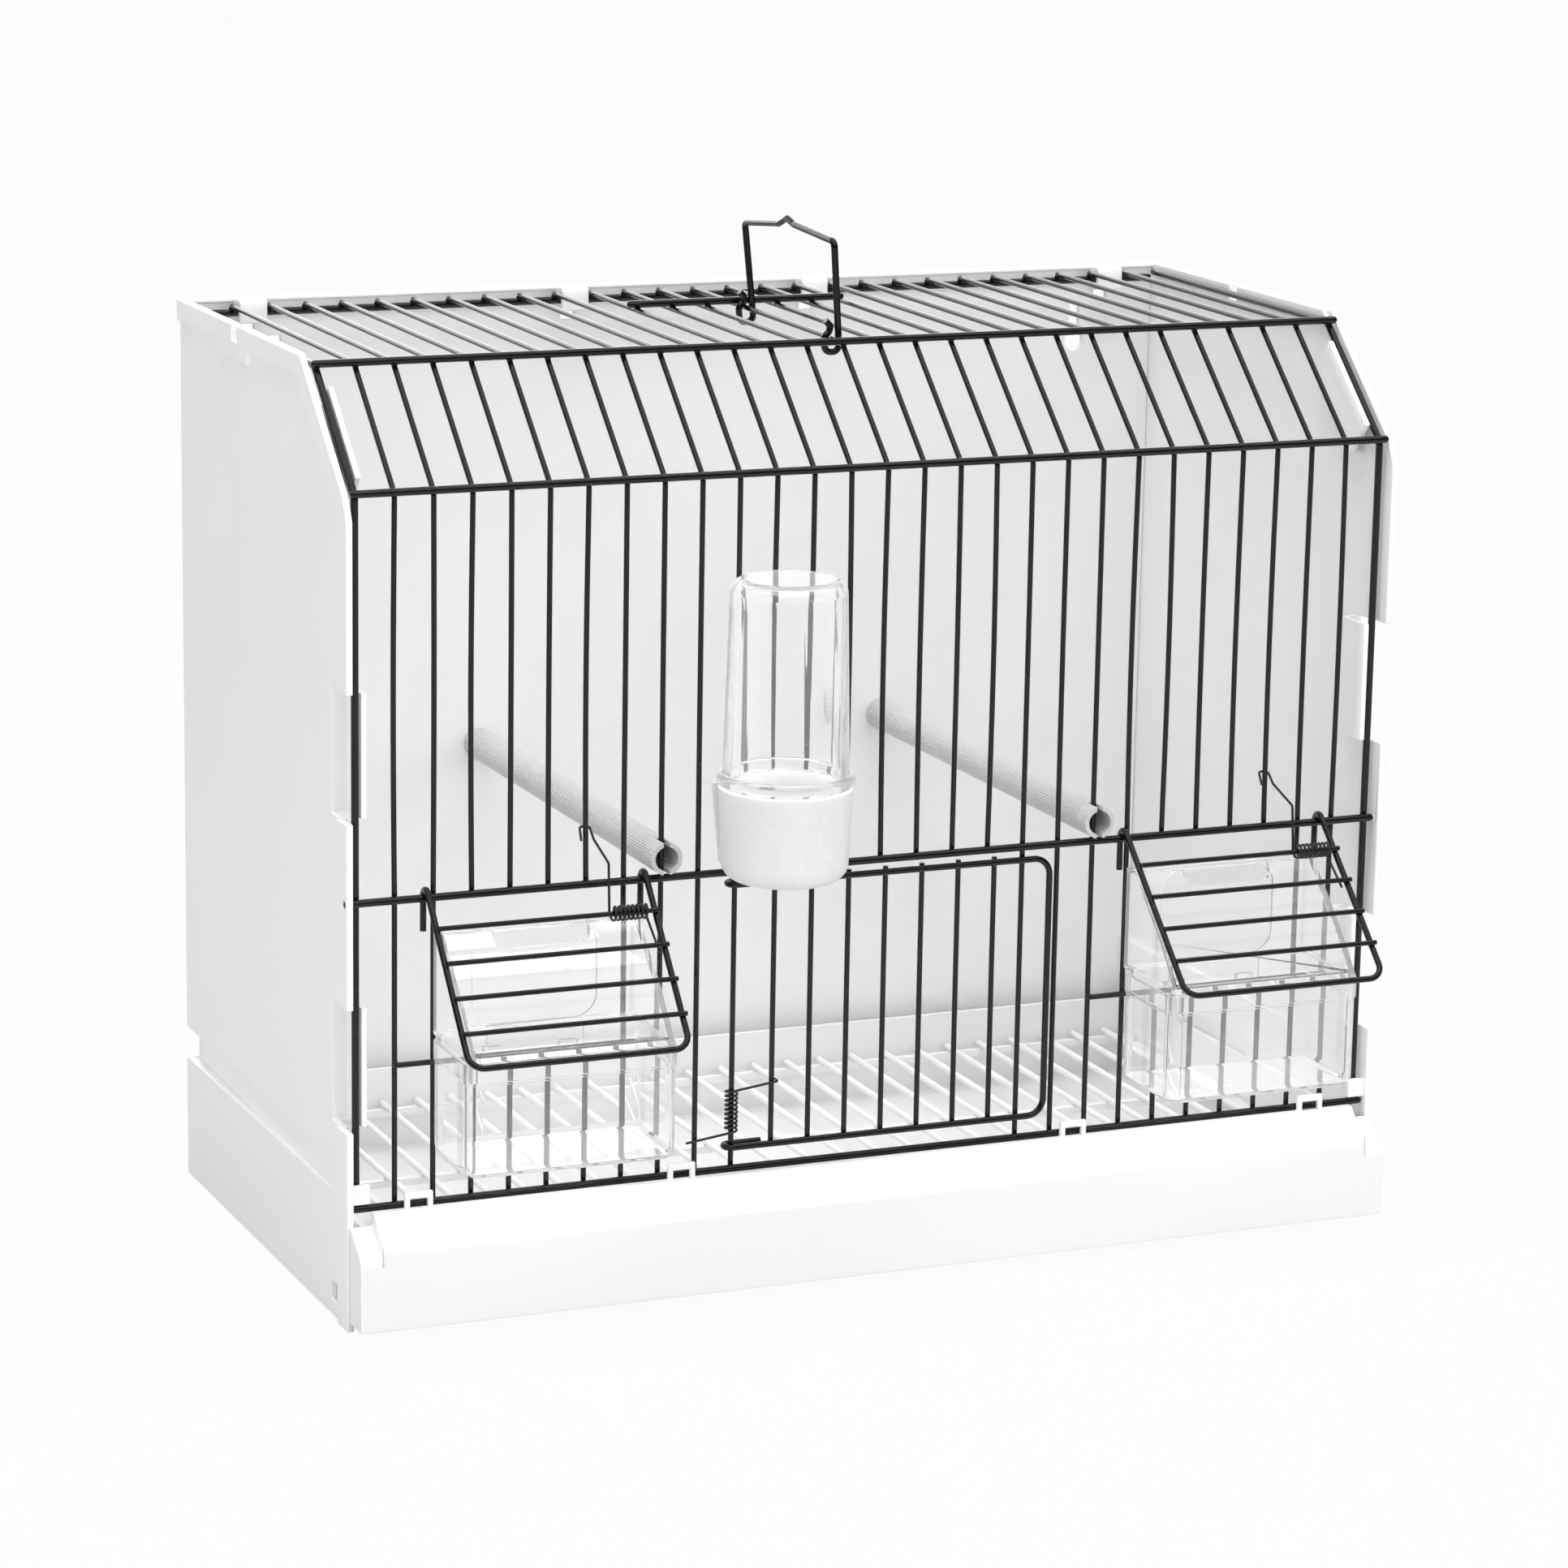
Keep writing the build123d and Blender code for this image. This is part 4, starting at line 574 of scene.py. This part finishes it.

# Springs: thin blackened wire. The door's is wound round the hinge upright, each flap's round the flap's
# first bar. On the real cage one arm of each stays on the cage while the rest twists or turns with the
# door or flap; here each coil is one whole piece.
spring_steel = plastic(
    "blackened spring wire",
    pale=(0.014, 0.014, 0.015),
    dark=(0.009, 0.009, 0.0095),
    rough_low=0.3,
    rough_high=0.42,
    bump=0.01 * mm,
    grain=900.0,
    sweep=90.0,
)
spring_d = 0.8 * mm
flap_arm_bend = 5.0 * mm
door_coil_low, door_coil_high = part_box("door_spring")
for node, name, body, cage_end_z, moving_end_z in (
    ("door_spring", "door_coil", "main_door", door_coil_low.z + spring_d, door_coil_high.z - spring_d),
    ("left_flap_spring", "left_flap_coil", "left_flap", middle_rail_z, middle_rail_z - flap_arm_bend),
    ("right_flap_spring", "right_flap_coil", "right_flap", middle_rail_z, middle_rail_z - flap_arm_bend),
):
    coil = bpy.data.objects.new(name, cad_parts[node].data.copy())
    collection.objects.link(coil)
    coil.data.materials.clear()
    coil.data.materials.append(spring_steel)
    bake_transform(coil)
    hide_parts(node)

# Feeder flaps: each is a frame wire hooked over the middle rail, with four cross
# bars welded outside its legs. A coil spring on the first bar pulls it shut.
for side in ("left", "right"):
    dress(side + "_flap_frame", black_coat)
    dress(side + "_flap_bars", black_coat)

# Feeders: clear brittle plastic. The tray hangs on the skirt of a hood, and the
# hood is hooked on the sill wire behind the flap.
clear_edge = 0.3 * mm
clear_edge_steps = 3
clear_ior = 1.36
veil_blend = 0.3
veil_face_on = 0.015
veil_aslant = 0.28
veil_white = (0.97, 0.97, 0.97, 1)
shadow_tint = (0.96, 0.96, 0.96, 1)


def clear_plastic(name, tint, roughness, bump, grain, sweep):
    """Clear moulded plastic, faintly uneven, and paler where it is seen aslant."""
    material = bpy.data.materials.new(name)
    material.use_nodes = True
    nodes, links = material.node_tree.nodes, material.node_tree.links
    shader = nodes["Principled BSDF"]
    shader.inputs["Transmission Weight"].default_value = 1.0
    shader.inputs["IOR"].default_value = clear_ior
    surface = nodes.new("ShaderNodeGroup")
    surface.node_tree = moulded_surface
    surface.inputs["Scale"].default_value = grain
    surface.inputs["Sweep"].default_value = sweep
    colour = nodes.new("ShaderNodeMix")
    colour.data_type = "RGBA"
    colour.inputs["A"].default_value = (*tint, 1)
    colour.inputs["B"].default_value = (1, 1, 1, 1)
    haze = nodes.new("ShaderNodeMapRange")
    haze.inputs["To Min"].default_value = 0.0
    haze.inputs["To Max"].default_value = roughness
    relief = nodes.new("ShaderNodeBump")
    relief.inputs["Strength"].default_value = 1.0
    relief.inputs["Distance"].default_value = bump
    links.new(surface.outputs["Patches"], colour.inputs["Factor"])
    links.new(surface.outputs["Patches"], haze.inputs["Value"])
    links.new(surface.outputs["Height"], relief.inputs["Height"])
    links.new(colour.outputs["Result"], shader.inputs["Base Color"])
    links.new(haze.outputs["Result"], shader.inputs["Roughness"])
    links.new(relief.outputs["Normal"], shader.inputs["Normal"])
    rays = nodes.new("ShaderNodeLightPath")
    passing = nodes.new("ShaderNodeBsdfTransparent")
    passing.inputs["Color"].default_value = shadow_tint
    surface_or_shadow = nodes.new("ShaderNodeMixShader")
    slant = nodes.new("ShaderNodeLayerWeight")
    slant.inputs["Blend"].default_value = veil_blend
    veil_share = nodes.new("ShaderNodeMapRange")
    veil_share.inputs["To Min"].default_value = veil_face_on
    veil_share.inputs["To Max"].default_value = veil_aslant
    veil = nodes.new("ShaderNodeBsdfDiffuse")
    veil.inputs["Color"].default_value = veil_white
    veiled = nodes.new("ShaderNodeMixShader")
    links.new(slant.outputs["Facing"], veil_share.inputs["Value"])
    links.new(veil_share.outputs["Result"], veiled.inputs["Fac"])
    links.new(shader.outputs["BSDF"], veiled.inputs[1])
    links.new(veil.outputs["BSDF"], veiled.inputs[2])
    links.new(rays.outputs["Is Shadow Ray"], surface_or_shadow.inputs["Fac"])
    links.new(veiled.outputs["Shader"], surface_or_shadow.inputs[1])
    links.new(passing.outputs["BSDF"], surface_or_shadow.inputs[2])
    links.new(surface_or_shadow.outputs["Shader"], nodes["Material Output"].inputs["Surface"])
    return material


clear_moulding = clear_plastic(
    "clear moulding",
    tint=(0.99, 0.995, 0.995),
    roughness=0.008,
    bump=0.004 * mm,
    grain=120.0,
    sweep=40.0,
)
for side in ("left", "right"):
    for node, name, body in (
        (side + "_feeder_tray", side + "_seed_tray", side + "_tray"),
        (side + "_feeder_hood", side + "_seed_hood", "cage"),
    ):
        moulding = softened(node, name, clear_edge, clear_edge_steps)
        moulding.data.materials.append(clear_moulding)
        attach(moulding, body)
        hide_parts(node)

# Drinker: a clear tube, closed on top, stands upside down in a white cup that
# lets a little light through. The cup's bracket plate lies against the wires and
# its spout reaches between two.
cup = softened("drinker_cup", "drinker_bowl", panel_edge, panel_edge_steps)
cup_plastic = plastic(
    "drinker cup plastic",
    pale=(0.8, 0.8, 0.8),
    dark=(0.77, 0.77, 0.77),
    rough_low=0.26,
    rough_high=0.36,
    bump=0.02 * mm,
    grain=900.0,
    sweep=40.0,
)
cup_shader = cup_plastic.node_tree.nodes["Principled BSDF"]
cup_shader.inputs["Subsurface Weight"].default_value = 0.5
cup_shader.inputs["Subsurface Radius"].default_value = (1, 1, 1)
cup_shader.inputs["Subsurface Scale"].default_value = 2.0 * mm
cup.data.materials.append(cup_plastic)
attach(cup, "drinker_cup")
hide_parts("drinker_cup")
tube = softened("drinker_tube", "drinker_bottle", clear_edge, clear_edge_steps)
tube.data.materials.append(clear_moulding)
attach(tube, "drinker_tube")
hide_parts("drinker_tube")

# Perches: pale grey tubes with fine grooves along them, pushed on a boss of the
# back wall and slotted in front over one upright.
grey_plastic = plastic(
    "grey perch plastic",
    pale=(0.68, 0.68, 0.685),
    dark=(0.64, 0.64, 0.645),
    rough_low=0.42,
    rough_high=0.55,
    bump=0.03 * mm,
    grain=900.0,
    sweep=60.0,
)
perch_low, perch_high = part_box("right_perch")
groove_count = 40
groove_depth = 0.22 * mm
nodes, links = grey_plastic.node_tree.nodes, grey_plastic.node_tree.links
place = nodes.new("ShaderNodeTexCoord")
parts = nodes.new("ShaderNodeSeparateXYZ")
links.new(place.outputs["Object"], parts.inputs["Vector"])
across = nodes.new("ShaderNodeMath")
across.operation = "ABSOLUTE"
links.new(parts.outputs["X"], across.inputs[0])
aside = nodes.new("ShaderNodeMath")
aside.operation = "SUBTRACT"
aside.inputs[1].default_value = (perch_low.x + perch_high.x) / 2
links.new(across.outputs[0], aside.inputs[0])
above = nodes.new("ShaderNodeMath")
above.operation = "SUBTRACT"
above.inputs[1].default_value = (perch_low.z + perch_high.z) / 2
links.new(parts.outputs["Z"], above.inputs[0])
turn = nodes.new("ShaderNodeMath")
turn.operation = "ARCTAN2"
links.new(above.outputs[0], turn.inputs[0])
links.new(aside.outputs[0], turn.inputs[1])
ridges = nodes.new("ShaderNodeMath")
ridges.operation = "MULTIPLY"
ridges.inputs[1].default_value = groove_count
links.new(turn.outputs[0], ridges.inputs[0])
wave = nodes.new("ShaderNodeMath")
wave.operation = "SINE"
links.new(ridges.outputs[0], wave.inputs[0])
grooves = nodes.new("ShaderNodeBump")
grooves.inputs["Strength"].default_value = 1.0
grooves.inputs["Distance"].default_value = groove_depth / 2
links.new(wave.outputs[0], grooves.inputs["Height"])
links.new(grooves.outputs["Normal"], nodes["Bump"].inputs["Normal"])
for side in ("left", "right"):
    dress(side + "_perch", grey_plastic)

# Litter drawer: one white moulding with a deep front, whose four arches clip
# over the bottom rail.
drawer = softened("drawer", "litter_drawer", panel_edge, panel_edge_steps)
# Painted shade: the drawer's plastic is a darker copy of the white plastic, which dims its front where
# it faces the front lamp square on.
drawer_plastic_painted_shade = plastic(
    "drawer plastic with painted shade",
    pale=(0.89, 0.89, 0.885),
    dark=(0.875, 0.875, 0.87),
    rough_low=0.34,
    rough_high=0.44,
    bump=0.02 * mm,
    grain=1100.0,
    sweep=28.0,
)
drawer.data.materials.append(drawer_plastic_painted_shade)
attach(drawer, "drawer")
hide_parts("drawer")

# Floor grille: a white plastic grate, with its bars on three cross bars. It lies
# on the drawer's ledges, and litter falls through it.
dress("floor_grille", white_plastic)

# Floor, light and camera: a floor that stays white to the eye and keeps a faint
# soft shadow, a white backdrop, soft lamps, and the camera of the photograph.
floor_half = 6.0
floor_grey = (0.58, 0.58, 0.58, 1)
floor_glow_share = 0.96
floor_paint = bpy.data.materials.new("pale floor")
floor_paint.use_nodes = True
nodes, links = floor_paint.node_tree.nodes, floor_paint.node_tree.links
shader = nodes["Principled BSDF"]
shader.inputs["Base Color"].default_value = floor_grey
shader.inputs["Roughness"].default_value = 0.8
shader.inputs["Specular IOR Level"].default_value = 0.1
glow = nodes.new("ShaderNodeEmission")
blend = nodes.new("ShaderNodeMixShader")
rays = nodes.new("ShaderNodeLightPath")
share = nodes.new("ShaderNodeMath")
share.operation = "MULTIPLY"
share.inputs[1].default_value = floor_glow_share
links.new(rays.outputs["Is Camera Ray"], share.inputs[0])
links.new(share.outputs[0], blend.inputs["Fac"])
links.new(shader.outputs["BSDF"], blend.inputs[1])
links.new(glow.outputs["Emission"], blend.inputs[2])
links.new(blend.outputs["Shader"], nodes["Material Output"].inputs["Surface"])
floor_mesh = bpy.data.meshes.new("floor")
floor_mesh.from_pydata(
    [
        (-floor_half, -floor_half, 0),
        (floor_half, -floor_half, 0),
        (floor_half, floor_half, 0),
        (-floor_half, floor_half, 0),
    ],
    [],
    [(0, 1, 2, 3)],
)
floor_mesh.materials.append(floor_paint)
floor = bpy.data.objects.new("floor", floor_mesh)
collection.objects.link(floor)

world = bpy.data.worlds.new("studio")
bpy.context.scene.world = world
world.use_nodes = True
nodes, links = world.node_tree.nodes, world.node_tree.links
nodes.clear()
leave = nodes.new("ShaderNodeOutputWorld")
ambient = nodes.new("ShaderNodeBackground")
ambient.inputs["Color"].default_value = (1, 1, 1, 1)
ambient.inputs["Strength"].default_value = 0.42
white = nodes.new("ShaderNodeBackground")
white.inputs["Color"].default_value = (1, 1, 1, 1)
white.inputs["Strength"].default_value = 1.0
mirrored = nodes.new("ShaderNodeBackground")
mirrored.inputs["Color"].default_value = (1, 1, 1, 1)
rays = nodes.new("ShaderNodeLightPath")
seen = nodes.new("ShaderNodeMath")
seen.operation = "MAXIMUM"
way = nodes.new("ShaderNodeTexCoord")
parts = nodes.new("ShaderNodeSeparateXYZ")
behind = nodes.new("ShaderNodeMapRange")
overhead = nodes.new("ShaderNodeMapRange")
backdrop = nodes.new("ShaderNodeMath")
backdrop.operation = "MAXIMUM"
for bright_side, first, last, low, high in (
    (behind, 0.6, 0.95, 0.02, 3.2),
    (overhead, 0.45, 0.9, 0.02, 1.3),
):
    bright_side.inputs["From Min"].default_value = first
    bright_side.inputs["From Max"].default_value = last
    bright_side.inputs["To Min"].default_value = low
    bright_side.inputs["To Max"].default_value = high
direct = nodes.new("ShaderNodeMixShader")
reflected = nodes.new("ShaderNodeMixShader")
links.new(way.outputs["Generated"], parts.inputs["Vector"])
links.new(parts.outputs["Y"], behind.inputs["Value"])
links.new(parts.outputs["Z"], overhead.inputs["Value"])
links.new(behind.outputs["Result"], backdrop.inputs[0])
links.new(overhead.outputs["Result"], backdrop.inputs[1])
links.new(backdrop.outputs[0], mirrored.inputs["Strength"])
links.new(rays.outputs["Is Camera Ray"], seen.inputs[0])
links.new(rays.outputs["Is Transmission Ray"], seen.inputs[1])
links.new(rays.outputs["Is Glossy Ray"], reflected.inputs["Fac"])
links.new(ambient.outputs["Background"], reflected.inputs[1])
links.new(mirrored.outputs["Background"], reflected.inputs[2])
links.new(seen.outputs[0], direct.inputs["Fac"])
links.new(reflected.outputs["Shader"], direct.inputs[1])
links.new(white.outputs["Background"], direct.inputs[2])
links.new(direct.outputs["Shader"], leave.inputs["Surface"])

# Lamps: four soft boxes that give no gleam, and a strip that gives only gleams,
# such as the bright line along each rail.
target = (cad_low + cad_high) / 2
for name, place, wide, tall, watts in (
    ("front softbox", Vector((-0.2, -2.2, 0.75)), 2.4, 1.5, 16.5),
    ("left softbox", Vector((-2.2, -0.7, 0.8)), 1.4, 1.4, 13.5),
    ("right softbox", Vector((1.5, -1.6, 0.9)), 1.2, 1.2, 12.0),
    ("top softbox", Vector((0.0, -0.1, 1.6)), 1.2, 0.8, 20.0),
    ("strip light", Vector((-0.5, -1.9, 1.9)), 2.6, 0.25, 10.0),
):
    lamp = bpy.data.lights.new(name, "AREA")
    lamp.shape = "RECTANGLE"
    lamp.size = wide
    lamp.size_y = tall
    lamp.energy = watts
    light = bpy.data.objects.new(name, lamp)
    collection.objects.link(light)
    only_gleams = name == "strip light"
    light.visible_glossy = only_gleams
    light.visible_diffuse = not only_gleams
    light.location = place
    light.rotation_mode = "QUATERNION"
    light.rotation_quaternion = (target - place).to_track_quat("-Z", "Y")

camera_place = Vector((-0.65268, -1.51168, 0.52755))
camera_azimuth = math.radians(-23.1304)
camera_elevation = math.radians(13.0440)
camera_roll = math.radians(0.99636)
camera_focal_px = 6345.588
photo_px = 1932
camera_data = bpy.data.cameras.new("camera")
camera_data.lens = camera_data.sensor_width * camera_focal_px / photo_px
camera_data.clip_start = 0.1
camera_data.clip_end = 30.0
camera = bpy.data.objects.new("camera", camera_data)
collection.objects.link(camera)
forward = Vector(
    (
        -math.sin(camera_azimuth) * math.cos(camera_elevation),
        math.cos(camera_azimuth) * math.cos(camera_elevation),
        -math.sin(camera_elevation),
    )
)
level = Vector((math.cos(camera_azimuth), math.sin(camera_azimuth), 0))
upward = level.cross(forward)
right = level * math.cos(camera_roll) + upward * math.sin(camera_roll)
above = upward * math.cos(camera_roll) - level * math.sin(camera_roll)
camera.matrix_world = Matrix(
    (
        (right.x, above.x, -forward.x, camera_place.x),
        (right.y, above.y, -forward.y, camera_place.y),
        (right.z, above.z, -forward.z, camera_place.z),
        (0, 0, 0, 1),
    )
)
bpy.context.scene.camera = camera
bpy.context.scene.view_settings.view_transform = "Standard"
